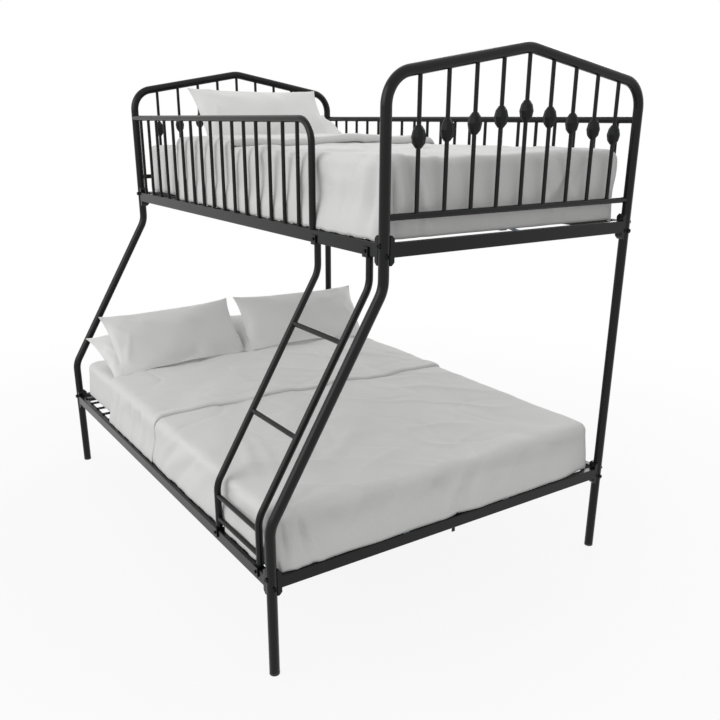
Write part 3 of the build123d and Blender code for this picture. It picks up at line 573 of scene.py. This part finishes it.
class Drape:
    """How cloth of one cover stands off its block."""

    def __init__(self, level, block, hem, seed, looks):
        self.level = level
        self.block = block
        self.hem = hem
        self.seed = seed
        self.looks = looks

    def offset(self, places, normals, over, around):
        """Swells on top, folds down the sides, a softened top edge, and a hem that flares over the rails."""
        seed, looks, block = self.seed, self.looks, self.block
        x, y, z = np.moveaxis(places, -1, 0)
        down = smooth_step(over / FADE_LENGTH)
        near_back = smooth_step((y - block.high[1]) / BACK_WIDTH + 1)
        level = level_relief(places, seed) * (1 - down) * (1 - BACK_CALM * near_back)
        inward = block.high[0] - FAN_INSET - x
        sideways = y - block.low[1] - FAN_INSET
        fan = fan_of_creases(inward, sideways, FAN_REACH, FAN_WIDTH, FAN_CREASES, seed + 9) * (1 - down)
        near_edge = over - block.edge * math.pi / 4
        rounding = -looks.soften * np.exp(-((near_edge / EDGE_WIDTH) ** 2))
        folds = hanging_relief(places, over, around, seed + 4) * down
        corner_middle = block.high[0] - block.corner * (1 - math.pi / 4)
        pleats = looks.pleat * folds_at(CORNER_PLEATS, over, around, corner_middle)
        pleats = pleats + looks.pleat * folds_at(SIDE_FOLDS[self.level], over, around, 0.0)
        lift = smooth_step(1 - (z - self.hem) / FLARE_HEIGHT)
        front = np.clip(-normals[..., 1], 0, 1) * looks.flare
        foot = np.clip(normals[..., 0], 0, 1) * (looks.flare + FOOT_FLARE) * (self.level == "lower")
        foot = foot * (1 - BACK_FLARE_CALM * near_back)
        sway = 1.0 + 0.05 * swell(np.stack([around, 0 * around, 0 * around], axis=-1), 130, seed + 8)
        flare = lift * sway * np.hypot(front, foot)
        hanging = (looks.hang * folds + pleats) * (1 - HEM_CALM * lift)
        return looks.ripple * (level + FAN_SHARE * fan) + hanging + rounding + flare

    def settle(self, places, normals, reach, tucked):
        """Lets the hem sag between the slats' ends, and draws it back behind what stands in front of it.

        A layer that lies tucked under another one keeps that much further in.
        """
        x, y, z = np.moveaxis(places, -1, 0)
        nearest = np.abs(x[..., None] - SLAT_PLACES[self.level]).min(axis=-1)
        on_sides = np.clip(np.abs(normals[..., 1]), 0, 1) ** 2
        on_foot = np.clip(normals[..., 0], 0, 1) ** 2 * (self.level == "lower")
        between = smooth_step((nearest - SLAT_HALF) / 14) * on_sides
        clear_of_hook = smooth_step((np.abs(y) - HOOK_HALF) / 14) * on_foot
        low = smooth_step(1 - (z - self.hem) / 70.0)
        places[..., 2] -= HEM_SAG * low * np.maximum(between, clear_of_hook)
        corners = np.clip(2.2 * np.abs(normals[..., 0] * normals[..., 1]), 0, 1)
        places[..., 2] -= CORNER_DROOP * low * smooth_step(corners) * (x > 0)
        stiles, limit = reach
        return keep_clear(self.rest_on_rails(places), stiles, limit + tucked)

    def rest_on_rails(self, places):
        """Holds the hem up over a rail, and in beside the taller brackets at the foot corners.

        Each hold fades in over a few millimetres before the rail or bracket.
        """
        end_low, end_high = box_mm(f"{self.level}_right_end_rail")
        front_high = box_mm(f"{self.level}_front_rail")[1]
        bracket_top = box_mm(f"{self.level}_rail_brackets")[1][2]
        x, y, z = np.moveaxis(places, -1, 0)
        beside = smooth_step((bracket_top + 12 - z) / 10)
        past_end = smooth_step((end_low[1] + 10 - y) / 8) + smooth_step((y - end_high[1] + 10) / 8)
        x = x - beside * past_end * np.maximum(x - end_low[0] + BRACKET_GAP, 0)
        past_front = smooth_step((x - front_high[0] + 10) / 8)
        y = y + beside * past_front * np.maximum(front_high[1] + BRACKET_GAP - y, 0)
        over_end = smooth_step((x - end_low[0] + 7) / 6)
        over_front = smooth_step((front_high[1] + 7 - y) / 6)
        z = z + np.maximum(over_end, over_front) * np.maximum(end_high[2] + RAIL_GAP - z, 0)
        return np.stack([x, y, z], axis=-1)


def keep_clear(places, stiles, limit):
    """Draws cloth back behind a plane across Y, where one of the ladder's stiles stands in front of it."""
    x = places[..., 0]
    for low, high in stiles:
        near = smooth_step((x - low + STILE_MARGIN) / STILE_FADE)
        near = near * smooth_step((high + STILE_MARGIN - x) / STILE_FADE)
        edge = limit - STILE_BULGE * (1 - near)
        places[..., 1] = np.where(places[..., 1] < 0, np.maximum(places[..., 1], edge), places[..., 1])
    return places


def cover_sheet(name, drape, cell, reach):
    """A cover over the foot part of a block, hanging down to its hem, tucked under the turned-back part."""
    x, y = drape.block.flat_cloth(drape.hem, cell, drape.looks.cover_start)
    places, normals, over, around = drape.block.lay(x, y)
    places = places + normals * drape.offset(places, normals, over, around)[..., None]
    past_hem = places[..., 0] - HEM_LINE_PLACES[drape.level][0]
    tucked = drape.looks.side_rise * (1 - smooth_step((past_hem - 15) / 50))
    return cloth_mesh(name, drape.settle(places, normals, reach, tucked))


def mattress_block(level, growth=0.0, rise=0.0, corner=MATTRESS_CORNER):
    """The block of a mattress, grown outwards and upwards."""
    low, high = box_mm(f"{level}_mattress")
    low = low - [growth, growth, 0]
    high = high + [growth, growth, rise]
    return Block(low, high, corner + growth, MATTRESS_EDGE + min(growth, rise))


def mattress_mesh(name, level, cell, seed, loose):
    """A mattress in its fitted sheet: two cloths laid over its upper and lower half, welded at mid height.

    Both halves share one grid. The lower one has a tighter edge, so its cloth outside the inner rectangle is
    scaled to its own length. The sheet stands off the sides by more and more towards the bottom.
    """
    block = mattress_block(level)
    middle = (block.low[2] + block.high[2]) / 2
    x, y = block.flat_cloth(middle, cell)
    underside = Block(block.low, block.high, block.corner, MATTRESS_BOTTOM_EDGE)
    share = underside.depth_to(middle) / block.depth_to(middle)
    near_x = np.clip(x, block.inner_low[0], block.inner_high[0])
    near_y = np.clip(y, block.inner_low[1], block.inner_high[1])
    halves = []
    for half, grid_x, grid_y in (
        (block, x, y),
        (underside, near_x + (x - near_x) * share, near_y + (y - near_y) * share),
    ):
        places, normals, over, around = half.lay(grid_x, grid_y)
        upright = 1 - normals[..., 2] ** 2
        if half is underside:
            places[..., 2] = 2 * middle - places[..., 2]
            normals[..., 2] *= -1
        below = smooth_step((block.high[2] - 30 - places[..., 2]) / (block.high[2] - block.low[2]))
        folds = hanging_relief(places, over * 0, around, seed + 7)
        puckers = -1.2 + 0.8 * swell(places, 260, seed) + 0.7 * crease(places, 240, seed + 1, 0.12)
        top_only = np.clip((places[..., 2] - middle) / 30.0, 0, 1)
        relief = puckers * top_only + upright * below * (loose + 1.3 * folds)
        halves.append((places + normals * relief[..., None]).reshape(-1, 3))
    faces = grid_faces(row_index(x.shape))
    piece = make_mesh(name, np.concatenate(halves), np.concatenate([faces, faces[:, ::-1] + x.size]))
    weld(piece)
    return piece


def head_edge(level, y):
    """Where the turned-back part starts along the bed, for a place across the cloth.

    It follows the pillows, which turn to the middle, and on the sides it is drawn towards the foot.
    """
    low, high = box_mm(f"{level}_mattress")
    off_middle, half = np.abs(y - (low[1] + high[1]) / 2), (high[1] - low[1]) / 2
    follow = PILLOW_FOLLOW[level] * np.clip(1 - off_middle / half, 0, 1)
    return TURNBACK_START - follow + SIDE_DRAW * smooth_step((off_middle - half + 40) / 120)


def turnback_mesh(name, drape, gap, side_gap, cell, reach):
    """The part of a duvet that is turned back: a second layer from its rounded fold to its hem line.

    Its head edge curls down to the mattress in a quarter circle, and its hem line to the cover below.
    """
    block = drape.block
    mattress = mattress_block(drape.level)
    rise = block.high[2] - mattress.high[2] - 1.0
    growth = block.high[1] - mattress.high[1] - 1.0
    drop = block.depth_to(drape.hem)
    across = steps(0.0, 1.0, cell / (block.high[1] - block.low[1] + 2 * drop))
    # The hem line turns softly from place to place, and the head edge waves a little
    ends = np.interp(across, HEM_LINE_SHARES, HEM_LINE_PLACES[drape.level])
    kernel = np.hanning(17)
    ends = np.convolve(np.pad(ends, 8, mode="edge"), kernel / kernel.sum(), mode="valid")
    y_line = block.inner_low[1] - drop + across * (block.high[1] - block.low[1] - 2 * block.corner + 2 * drop)
    starts = head_edge(drape.level, y_line) + 4.0 * np.sin(across * 17.0) + 3.0 * np.sin(across * 41.0)
    along = steps(0.0, 1.0, cell / (ends.mean() - TURNBACK_START))
    # Finer steps at both ends, where the cloth curls
    along = along - np.sin(along * TURN) * 0.11
    x = starts[None, :] + along[:, None] * (ends - starts)[None, :]
    y = np.broadcast_to(y_line[None, :], x.shape)
    places, normals, over, around = block.lay(x, y)
    up = normals[..., 2] ** 2
    head_run = np.clip((x - starts[None, :]) / HEAD_CURL, 0, 1)
    head_curl = (rise * up + growth * (1 - up)) * (1 - np.sqrt(1 - (1 - head_run) ** 2))
    before_hem = ends[None, :] - x
    hem_run = np.clip(before_hem / HEM_CURL, 0, 1)
    hem_curl = (gap * up + side_gap * (1 - up)) * (1 - np.sqrt(1 - (1 - hem_run) ** 2))
    from_valley = before_hem - VALLEY_PLACE - VALLEY_LEAN * (y - block.low[1])
    valley = VALLEY_DEPTH * up * np.exp(-((from_valley / VALLEY_WIDTH) ** 2))
    offset = drape.offset(places, normals, over, around) - head_curl - hem_curl - valley
    places = places + normals * offset[..., None]
    return cloth_mesh(name, drape.settle(places, normals, reach, 0.0))


# Pillows

PILLOW_GRID = (72, 40)
# How the cloth simulation fills a pillow, and for how many steps
PILLOW_FILLING = {
    "quality": 6,
    "mass": 0.25,
    "tension_stiffness": 22,
    "compression_stiffness": 18,
    "shear_stiffness": 8,
    "bending_stiffness": 0.3,
    "use_pressure": True,
    "uniform_pressure_force": 4.5,
}
PILLOW_STEPS = 28
# Rounds of smoothing after the simulation
PILLOW_ROUNDS = 16
# Crown of a back pillow, as a share of a front one's
BACK_CROWN = 0.86
# The face that a front pillow leans on: a little smaller than the back pillow, with a gap and a soft blend
FACE_WIDTH = 0.97
FACE_HEIGHT = 0.96
FACE_GAP = 2.0
FACE_BLEND = 5.0
# Gap and blend between a pillow and what it lies on, and how far it sinks into the turned-back part
BED_GAP = 1.0
BED_BLEND = 6.0
BAND_SHARE = 0.9
# Places of the rows from the head posts and above the mattress, and of the pillows from the bed's middle
PILLOW_ROWS = {"back": (236.0, 65.0), "front": (267.0, 112.0)}
PILLOW_OFFSETS = {
    "lower_near": {"front": -297.0, "back": -338.0, "turn": 1},
    "lower_far": {"front": 373.0, "back": 345.0, "turn": -1},
    "upper": {"front": 5.0, "back": 108.0, "turn": 0},
}


def even_out(cloth, target):
    """Moves a grid's four edges to target edges, and its inside along with them.

    The move inside is the sum of the moves of the edges across and along, weighted by nearness, less that of
    the four corners.
    """
    u = np.linspace(0, 1, cloth.shape[0])[:, None, None]
    v = np.linspace(0, 1, cloth.shape[1])[None, :, None]
    move = target - cloth
    sides = (1 - u) * move[:1] + u * move[-1:]
    ends = (1 - v) * move[:, :1] + v * move[:, -1:]
    corners = (1 - v) * sides[:, :1] + v * sides[:, -1:]
    return cloth + sides + ends - corners


def relax(cloth, rounds):
    """Smooths a grid inside its edges: each point goes halfway to its neighbours' mean in each round."""
    cloth = cloth.copy()
    for _ in range(rounds):
        mean = (cloth[:-2, 1:-1] + cloth[2:, 1:-1] + cloth[1:-1, :-2] + cloth[1:-1, 2:]) / 4
        cloth[1:-1, 1:-1] += (mean - cloth[1:-1, 1:-1]) / 2
    return cloth


def crown_over(a, b, crown):
    """Height of a pillow's face over its middle plane, at shares of its half width and half height."""
    return crown / 2 * np.sqrt((1 - np.abs(a) ** 2.6) * (1 - np.abs(b) ** 2.2))


def blow_up(points, faces):
    """Runs the cloth simulation on a closed blank and returns its points at the last step."""
    piece = make_mesh("pillow_blank", points, faces)
    cloth = piece.modifiers.new("Filling", "CLOTH")
    for name, value in PILLOW_FILLING.items():
        setattr(cloth.settings, name, value)
    cloth.settings.effector_weights.gravity = 0
    cloth.collision_settings.use_collision = False
    scene = bpy.context.scene
    for step in range(1, PILLOW_STEPS + 1):
        scene.frame_set(step)
    blown = piece.evaluated_get(bpy.context.evaluated_depsgraph_get())
    points = np.empty(len(blown.data.vertices) * 3)
    blown.data.vertices.foreach_get("co", points)
    scene.frame_set(1)
    blank = piece.data
    bpy.data.objects.remove(piece)
    bpy.data.meshes.remove(blank)
    return points.reshape(-1, 3) / MM


def pillow_shape(width, height, crown, seed):
    """Two cloths sewn at their edges and blown up by a cloth simulation, then eased back to a set outline.

    Returns points in the pillow's own axes, across, upward and out of its face, and its faces. The outline is
    drawn in between pointed corners: by a share of its height along the long edges, and of its width at the
    sides. The blank that is blown up bows out there instead.
    """
    u, v = np.meshgrid(*(np.linspace(-1, 1, count) for count in PILLOW_GRID), indexing="ij")
    inside = np.zeros(u.shape, dtype=bool)
    inside[1:-1, 1:-1] = True
    front_index = row_index(u.shape)
    back_index = front_index.copy()
    back_index[inside] = u.size + np.arange(inside.sum())
    faces = np.concatenate([grid_faces(front_index), grid_faces(back_index)[:, ::-1]])

    def sewn(front, back):
        """Points of both cloths, which share their edges."""
        points = np.zeros((u.size + inside.sum(), 3))
        points[back_index] = back
        points[front_index] = front
        return points

    drawn_x = u * width / 2 * (1 - 0.07 * (1 - np.abs(v) ** 3))
    drawn_y = v * height / 2 * (1 - 0.1 * (1 - np.abs(u) ** 5))
    outline = np.stack([drawn_x, drawn_y, np.zeros_like(u)], axis=-1)
    fullness = (1 - u**4) * (1 - v**4)
    bowed_x = u * width * 0.515 * (1 + 0.05 * (1 - v**2))
    bowed_y = v * height * 0.53 * (1 + 0.11 * (1 - u**2))
    flat = np.stack([bowed_x, bowed_y, np.zeros_like(u)], axis=-1)
    lift = (7.0 * fullness * (1 + 0.3 * swell(flat, 80, seed)))[..., None] * [0, 0, 1]
    points = blow_up(sewn(flat + lift, flat - lift), faces)
    points -= (points.max(axis=0) + points.min(axis=0)) / 2
    points[:, 2] *= crown / (points[:, 2].max() - points[:, 2].min())
    front = relax(even_out(points[front_index], outline), PILLOW_ROUNDS)
    back = relax(even_out(points[back_index], outline), PILLOW_ROUNDS)
    # Creases that fan out from two corners and a hollow between them, at the side away from the next pillow
    inward = front[..., 0] + width / 2
    for number, sideways in enumerate((height / 2 - front[..., 1], height / 2 + front[..., 1])):
        front[..., 2] += 5.0 * fan_of_creases(inward, sideways, 250, 10, 5, seed + number) * inside
    front[..., 2] += 2.0 * swell(front, 170, seed + 5) * fullness
    points = sewn(front, back)
    # A leaning pillow is fuller below
    points[:, 2] *= 1 - 0.16 * points[:, 1] / (height / 2)
    return points, faces


class PillowPlace:
    """Where a pillow lies: its middle, how it leans and how it is turned."""

    def __init__(self, middle, lean, turn):
        facing = np.array([math.cos(turn), math.sin(turn), 0.0])
        self.middle = np.array(middle)
        across = [-math.sin(turn), math.cos(turn), 0.0]
        upward = -facing * math.cos(lean) + [0, 0, math.sin(lean)]
        outward = facing * math.sin(lean) + [0, 0, math.cos(lean)]
        self.axes = np.stack([across, upward, outward])

    def to_bed(self, points):
        """From the pillow's axes to the bed's."""
        return self.middle + points @ self.axes

    def to_pillow(self, points):
        """From the bed's axes to the pillow's."""
        return (points - self.middle) @ self.axes.T


def keep_above(value, floor, softness):
    """The larger of value and floor, blended smoothly over a softness."""
    gap = (value - floor) / softness
    return floor + softness * np.logaddexp(0.0, gap)


def lean_on(points, behind, width, height, crown):
    """Keeps a pillow's points in front of the face of the pillow behind it, which lies a little inside."""
    local = behind.to_pillow(points)
    a, b = np.abs(local[:, 0]), np.abs(local[:, 1])
    near_a = np.clip(a / (width * FACE_WIDTH / 2), 0, 1)
    near_b = np.clip(b / (height * FACE_HEIGHT / 2), 0, 1)
    lifted = keep_above(local[:, 2], crown_over(near_a, near_b, crown) + FACE_GAP, FACE_BLEND)
    local[:, 2] = np.where((a < width / 2) & (b < height / 2), lifted, local[:, 2])
    return behind.to_bed(local)


# Operators


def front_limits(level):
    """Ranges of X where stiles or spindles stand in front of a bed, and how far its cloth may reach there."""
    if level == "upper":
        low, high = box_mm("front_guard_spindles")
        return [(low[0], high[0])], high[1] + STILE_GAP
    stiles = [box_mm(f"{side}_ladder_stile") for side in ("left", "right")]
    rail_low, rail_high = box_mm("lower_front_rail")
    radius = (stiles[0][1][0] - stiles[0][0][0]) / 2
    return [(low[0], high[0]) for low, high in stiles], (rail_low[1] + rail_high[1]) / 2 + radius + STILE_GAP


class BUNKBED_OT_steel_frame(bpy.types.Operator):
    """Finishes tubes, rails, slats, brackets and the ladder with powder coat"""

    bl_idname = "bunkbed.steel_frame"
    bl_label = "Steel Frame"

    def execute(self, context):
        colours = context.scene.bed_finish
        coat = powder_coat("Satin powder coat on steel", colours.powder, 0.24, 1.6, 0.16)
        tubes = ("hoop", "_leg", "crossbar", "spindles", "_rail", "guard_frame", "stile", "rungs")
        paint_nodes(nodes_like("brackets", "slats", "hooks", "ladder_tabs", *tubes), coat)
        paint_nodes(["leg_joint_sleeves"], zinc_plate("Bare drawn steel", colours.steel))
        return {"FINISHED"}


class BUNKBED_OT_knots(bpy.types.Operator):
    """Finishes the cast knots of the end spindles"""

    bl_idname = "bunkbed.knots"
    bl_label = "Knots"

    def execute(self, context):
        colours = context.scene.bed_finish
        coat = powder_coat("Powder coat on sand-cast knots", colours.cast, 0.5, 3.5, 0.5)
        paint_nodes(nodes_like("knots"), coat)
        return {"FINISHED"}


class BUNKBED_OT_fasteners(bpy.types.Operator):
    """Finishes bolts and rivets, caps and clips, and webbing"""

    bl_idname = "bunkbed.fasteners"
    bl_label = "Fasteners and Straps"

    def execute(self, context):
        colours = context.scene.bed_finish
        paint_nodes(nodes_like("bolts", "rivets"), zinc_plate("Black zinc plate", colours.zinc))
        paint_nodes(["foot_caps", "lower_slat_clips"], moulded_nylon("Moulded nylon", colours.nylon))
        webbing = woven("Polypropylene webbing", colours.webbing, 3.2, 0.5, 0.15, 0.7, 6.0)
        paint_nodes(nodes_like("strap"), webbing)
        return {"FINISHED"}


class BUNKBED_OT_mattresses(bpy.types.Operator):
    """Makes each mattress in its fitted sheet"""

    bl_idname = "bunkbed.mattresses"
    bl_label = "Mattresses"

    def execute(self, context):
        looks = context.scene.bed_bedding
        cotton = woven("Percale fitted sheet", looks.sheet, 2.4, 0.16, 0.2, 0.85, 7.0)
        for seed, level in enumerate(BEDS):
            name = f"{level}_fitted_sheet"
            piece = mattress_mesh(name, level, looks.cell * 1.4, 11 + 20 * seed, looks.loose)
            dress(piece, cotton, "fitted_sheet", f"{level}_mattress")
        return {"FINISHED"}


class BUNKBED_OT_duvets(bpy.types.Operator):
    """Makes each duvet and the part that is turned back"""

    bl_idname = "bunkbed.duvets"
    bl_label = "Duvets"

    def execute(self, context):
        looks = context.scene.bed_bedding
        cotton = woven("Percale duvet cover", looks.duvet, 2.4, 0.16, 0.22, 0.88, 9.0)
        for number, level in enumerate(BEDS):
            rise = looks.upper_turnback if level == "upper" else looks.turnback
            cad_low, cad_high = box_mm(f"{level}_duvet")
            mattress_high = box_mm(f"{level}_mattress")[1]
            reach = cad_high[0] - mattress_high[0] - looks.hem_draw
            top = cad_high[2] - mattress_high[2] - rise - looks.hem_draw
            hem = cad_low[2] - HEM_DROP
            limits = front_limits(level)
            seed = 101 + 30 * number
            under = Drape(level, mattress_block(level, reach, top, DUVET_CORNER), hem, seed, looks)
            cover = cover_sheet(f"{level}_duvet_cover", under, looks.cell, limits)
            give_thickness(cover, looks.cover)
            dress(cover, cotton, "duvet_cotton", f"{level}_duvet")
            outer = mattress_block(level, reach + looks.side_rise, top + rise, DUVET_CORNER)
            over = Drape(level, outer, hem, seed, looks)
            back = turnback_mesh(f"{level}_duvet_turnback", over, rise, looks.side_rise, looks.cell, limits)
            give_thickness(back, looks.cover)
            dress(back, cotton, "duvet_cotton")
        return {"FINISHED"}


class BUNKBED_OT_pillows(bpy.types.Operator):
    """Makes the pillows, blown up by a cloth simulation and set down where they lean"""

    bl_idname = "bunkbed.pillows"
    bl_label = "Pillows"

    def execute(self, context):
        looks = context.scene.bed_bedding
        cotton = woven("Percale pillow case", looks.pillow, 2.4, 0.16, 0.22, 0.88, 8.0)
        width, height = looks.pillow_width, looks.pillow_height
        crowns = {"front": looks.pillow_crown, "back": looks.pillow_crown * BACK_CROWN}
        leans = {"front": looks.front_lean, "back": looks.back_lean}
        shapes = {
            "front": pillow_shape(width, height, crowns["front"], 301),
            "back": pillow_shape(width, height, crowns["back"], 302),
        }
        post_low, post_high = box_mm("left_back_leg")
        post_x = (post_low[0] + post_high[0]) / 2
        for name, spot in PILLOW_OFFSETS.items():
            level = name.split("_")[0]
            low, high = box_mm(f"{level}_mattress")
            middle_y = (low[1] + high[1]) / 2
            behind = None
            for row, (inset, rise) in PILLOW_ROWS.items():
                middle = (post_x + inset, middle_y + spot[row], high[2] + rise)
                place = PillowPlace(middle, leans[row], spot["turn"] * looks.pillow_turn)
                points, faces = shapes[row]
                if name == "lower_far":
                    points, faces = points * [-1, 1, 1], faces[:, ::-1]
                points = place.to_bed(points)
                if behind:
                    points = lean_on(points, behind, width, height, crowns["back"])
                behind = place
                band = (box_mm(f"{level}_duvet")[1][2] - high[2]) * BAND_SHARE
                onto = smooth_step((points[:, 0] - head_edge(level, points[:, 1])) / HEAD_CURL)
                points[:, 2] = keep_above(points[:, 2], high[2] + BED_GAP + band * onto, BED_BLEND)
                piece = make_mesh(f"{name}_{row}_cushion", points, faces)
                smooth = piece.modifiers.new("Rounding", "SUBSURF")
                smooth.levels = smooth.render_levels = 1
                dress(piece, cotton, "pillow_cotton", f"{name}_{row}_pillow")
        return {"FINISHED"}


# Studio

CAMERA_PLACE = (2752.4, -1616.4, 1584.0)
CAMERA_YAW = math.radians(146.11)
CAMERA_PITCH = math.radians(-19.32)
CAMERA_ROLL = 0.004
CAMERA_LENS = 39.7
CAMERA_SHIFT = (0.0077, 0.0526)
LAMP_TARGET = (0.0, 0.0, 700.0)
FLOOR_HALF = 40000.0


def camera_axes():
    """Rows right, up and back of a camera that looks along its yaw and pitch, turned by its roll."""
    ahead = math.cos(CAMERA_PITCH)
    forward = np.array([ahead * math.cos(CAMERA_YAW), ahead * math.sin(CAMERA_YAW), math.sin(CAMERA_PITCH)])
    level = np.array([math.sin(CAMERA_YAW), -math.cos(CAMERA_YAW), 0.0])
    upright = np.cross(level, forward)
    right = math.cos(CAMERA_ROLL) * level + math.sin(CAMERA_ROLL) * upright
    up = -math.sin(CAMERA_ROLL) * level + math.cos(CAMERA_ROLL) * upright
    return right, up, -forward


def area_lamp(name, yaw, pitch, distance, size, watts):
    """A soft lamp that points at the middle of the bed from a direction, with its width and height.

    Its yaw turns from the front towards the foot end, and its pitch rises from the floor.
    """
    yaw, pitch = math.radians(yaw), math.radians(pitch)
    back = np.array([math.sin(yaw) * math.cos(pitch), -math.cos(yaw) * math.cos(pitch), math.sin(pitch)])
    right = np.array([math.cos(yaw), math.sin(yaw), 0.0])
    data = bpy.data.lights.new(name, "AREA")
    data.energy = watts
    data.shape = "RECTANGLE"
    data.size, data.size_y = size[0] * MM, size[1] * MM
    lamp = bpy.data.objects.new(name, data)
    bpy.context.scene.collection.objects.link(lamp)
    set_place(lamp, np.array(LAMP_TARGET) + back * distance, right, np.cross(back, right), back)


def set_place(thing, place, right, up, back):
    """Sets a lamp or camera down with its axes."""
    rows = [[right[i], up[i], back[i], place[i] * MM] for i in range(3)]
    thing.matrix_world = Matrix([*rows, [0, 0, 0, 1]])


def seen_rays(tree):
    """A socket that is 1 for the rays that show a background: camera, glossy and transmission rays."""
    path = add_node(tree, "LightPath")
    glossy = add_math(tree, "MAXIMUM", path.outputs["Is Camera Ray"], path.outputs["Is Glossy Ray"])
    return add_math(tree, "MAXIMUM", glossy, path.outputs["Is Transmission Ray"])


def floor_material(colour):
    """A pale floor, which fades into white for the rays that show it, wholly so away from the bed."""
    material, tree, shader, place = new_material("Pale studio floor", Base_Color=colour, Roughness=0.9)
    white = add_node(tree, "Emission", {"Color": (1, 1, 1, 1), "Strength": 1.0})
    distance = add_node(tree, "VectorMath", {"operation": "LENGTH"}, {"Vector": place})
    fading = {"From Min": 1.2, "From Max": 3.4, "To Min": 0.9, "To Max": 1.0}
    fade = add_node(tree, "MapRange", fading, {"Value": distance.outputs["Value"]})
    amount = add_math(tree, "MULTIPLY", seen_rays(tree), fade.outputs["Result"])
    parts = {0: amount, 1: shader.outputs["BSDF"], 2: white.outputs["Emission"]}
    mix = add_node(tree, "MixShader", links=parts)
    output = next(node for node in tree.nodes if node.type == "OUTPUT_MATERIAL")
    tree.links.new(mix.outputs[0], output.inputs["Surface"])
    return material


def studio_world(level):
    """A world that gives light of a level from all round, and is white to the rays that show it."""
    world = bpy.data.worlds.new("Studio")
    world.use_nodes = True
    tree = world.node_tree
    tree.nodes.clear()
    light = add_node(tree, "Background", {"Color": (1, 1, 1, 1), "Strength": level})
    backdrop = add_node(tree, "Background", {"Color": (1, 1, 1, 1), "Strength": 1.0})
    parts = {0: seen_rays(tree), 1: light.outputs[0], 2: backdrop.outputs[0]}
    blend = add_node(tree, "MixShader", links=parts)
    add_node(tree, "OutputWorld", links={"Surface": blend.outputs[0]})
    return world


def studio_camera():
    """The camera, in front of the foot end."""
    data = bpy.data.cameras.new("camera")
    data.lens = CAMERA_LENS
    data.sensor_width = 36.0
    data.shift_x, data.shift_y = CAMERA_SHIFT
    data.clip_end = 200.0
    camera = bpy.data.objects.new("camera", data)
    bpy.context.scene.collection.objects.link(camera)
    set_place(camera, np.array(CAMERA_PLACE), *camera_axes())
    return camera


class BUNKBED_OT_stage(bpy.types.Operator):
    """Makes the floor, the lamps, the world and the camera"""

    bl_idname = "bunkbed.stage"
    bl_label = "Studio"

    def execute(self, context):
        looks = context.scene.bed_studio
        corners = np.array([[-1, -1, 0], [1, -1, 0], [1, 1, 0], [-1, 1, 0]]) * FLOOR_HALF
        floor = make_mesh("studio_floor", corners, [[0, 1, 2, 3]])
        floor.data.materials.append(floor_material(looks.floor))
        context.scene.world = studio_world(looks.world_level)
        area_lamp("front_softbox", 1.0, 31.0, 6000, (5600, 3600), looks.key_level)
        area_lamp("back_softbox", 205.0, 30.0, 6300, (3000, 3000), looks.back_level)
        context.scene.camera = studio_camera()
        context.scene.view_settings.view_transform = "Standard"
        return {"FINISHED"}


class BUNKBED_PT_panel(bpy.types.Panel):
    """Lists the steps and their settings"""

    bl_idname = "BUNKBED_PT_panel"
    bl_label = "Bunk Bed"
    bl_space_type = "VIEW_3D"
    bl_region_type = "UI"
    bl_category = "Bunk Bed"

    def draw(self, context):
        for step in STEPS:
            self.layout.operator(step.bl_idname)
        for group in SETTINGS:
            box = self.layout.box()
            for name in SETTINGS[group].__annotations__:
                box.prop(getattr(context.scene, group), name)


STEPS = (
    BUNKBED_OT_steel_frame,
    BUNKBED_OT_knots,
    BUNKBED_OT_fasteners,
    BUNKBED_OT_mattresses,
    BUNKBED_OT_duvets,
    BUNKBED_OT_pillows,
    BUNKBED_OT_stage,
)
SETTINGS = {"bed_finish": FrameFinish, "bed_bedding": BeddingLooks, "bed_studio": StudioLooks}
CLASSES = (*SETTINGS.values(), *STEPS, BUNKBED_PT_panel)


def register():
    """Registers the settings, steps and panel."""
    for cls in CLASSES:
        bpy.utils.register_class(cls)
    for name, group in SETTINGS.items():
        setattr(bpy.types.Scene, name, PointerProperty(type=group))


def unregister():
    """Takes them out again."""
    for name in SETTINGS:
        delattr(bpy.types.Scene, name)
    for cls in reversed(CLASSES):
        bpy.utils.unregister_class(cls)


def main():
    """Runs every step in order."""
    register()
    bpy.ops.bunkbed.steel_frame()
    bpy.ops.bunkbed.knots()
    bpy.ops.bunkbed.fasteners()
    bpy.ops.bunkbed.mattresses()
    bpy.ops.bunkbed.duvets()
    bpy.ops.bunkbed.pillows()
    bpy.ops.bunkbed.stage()


if __name__ == "__main__":
    main()
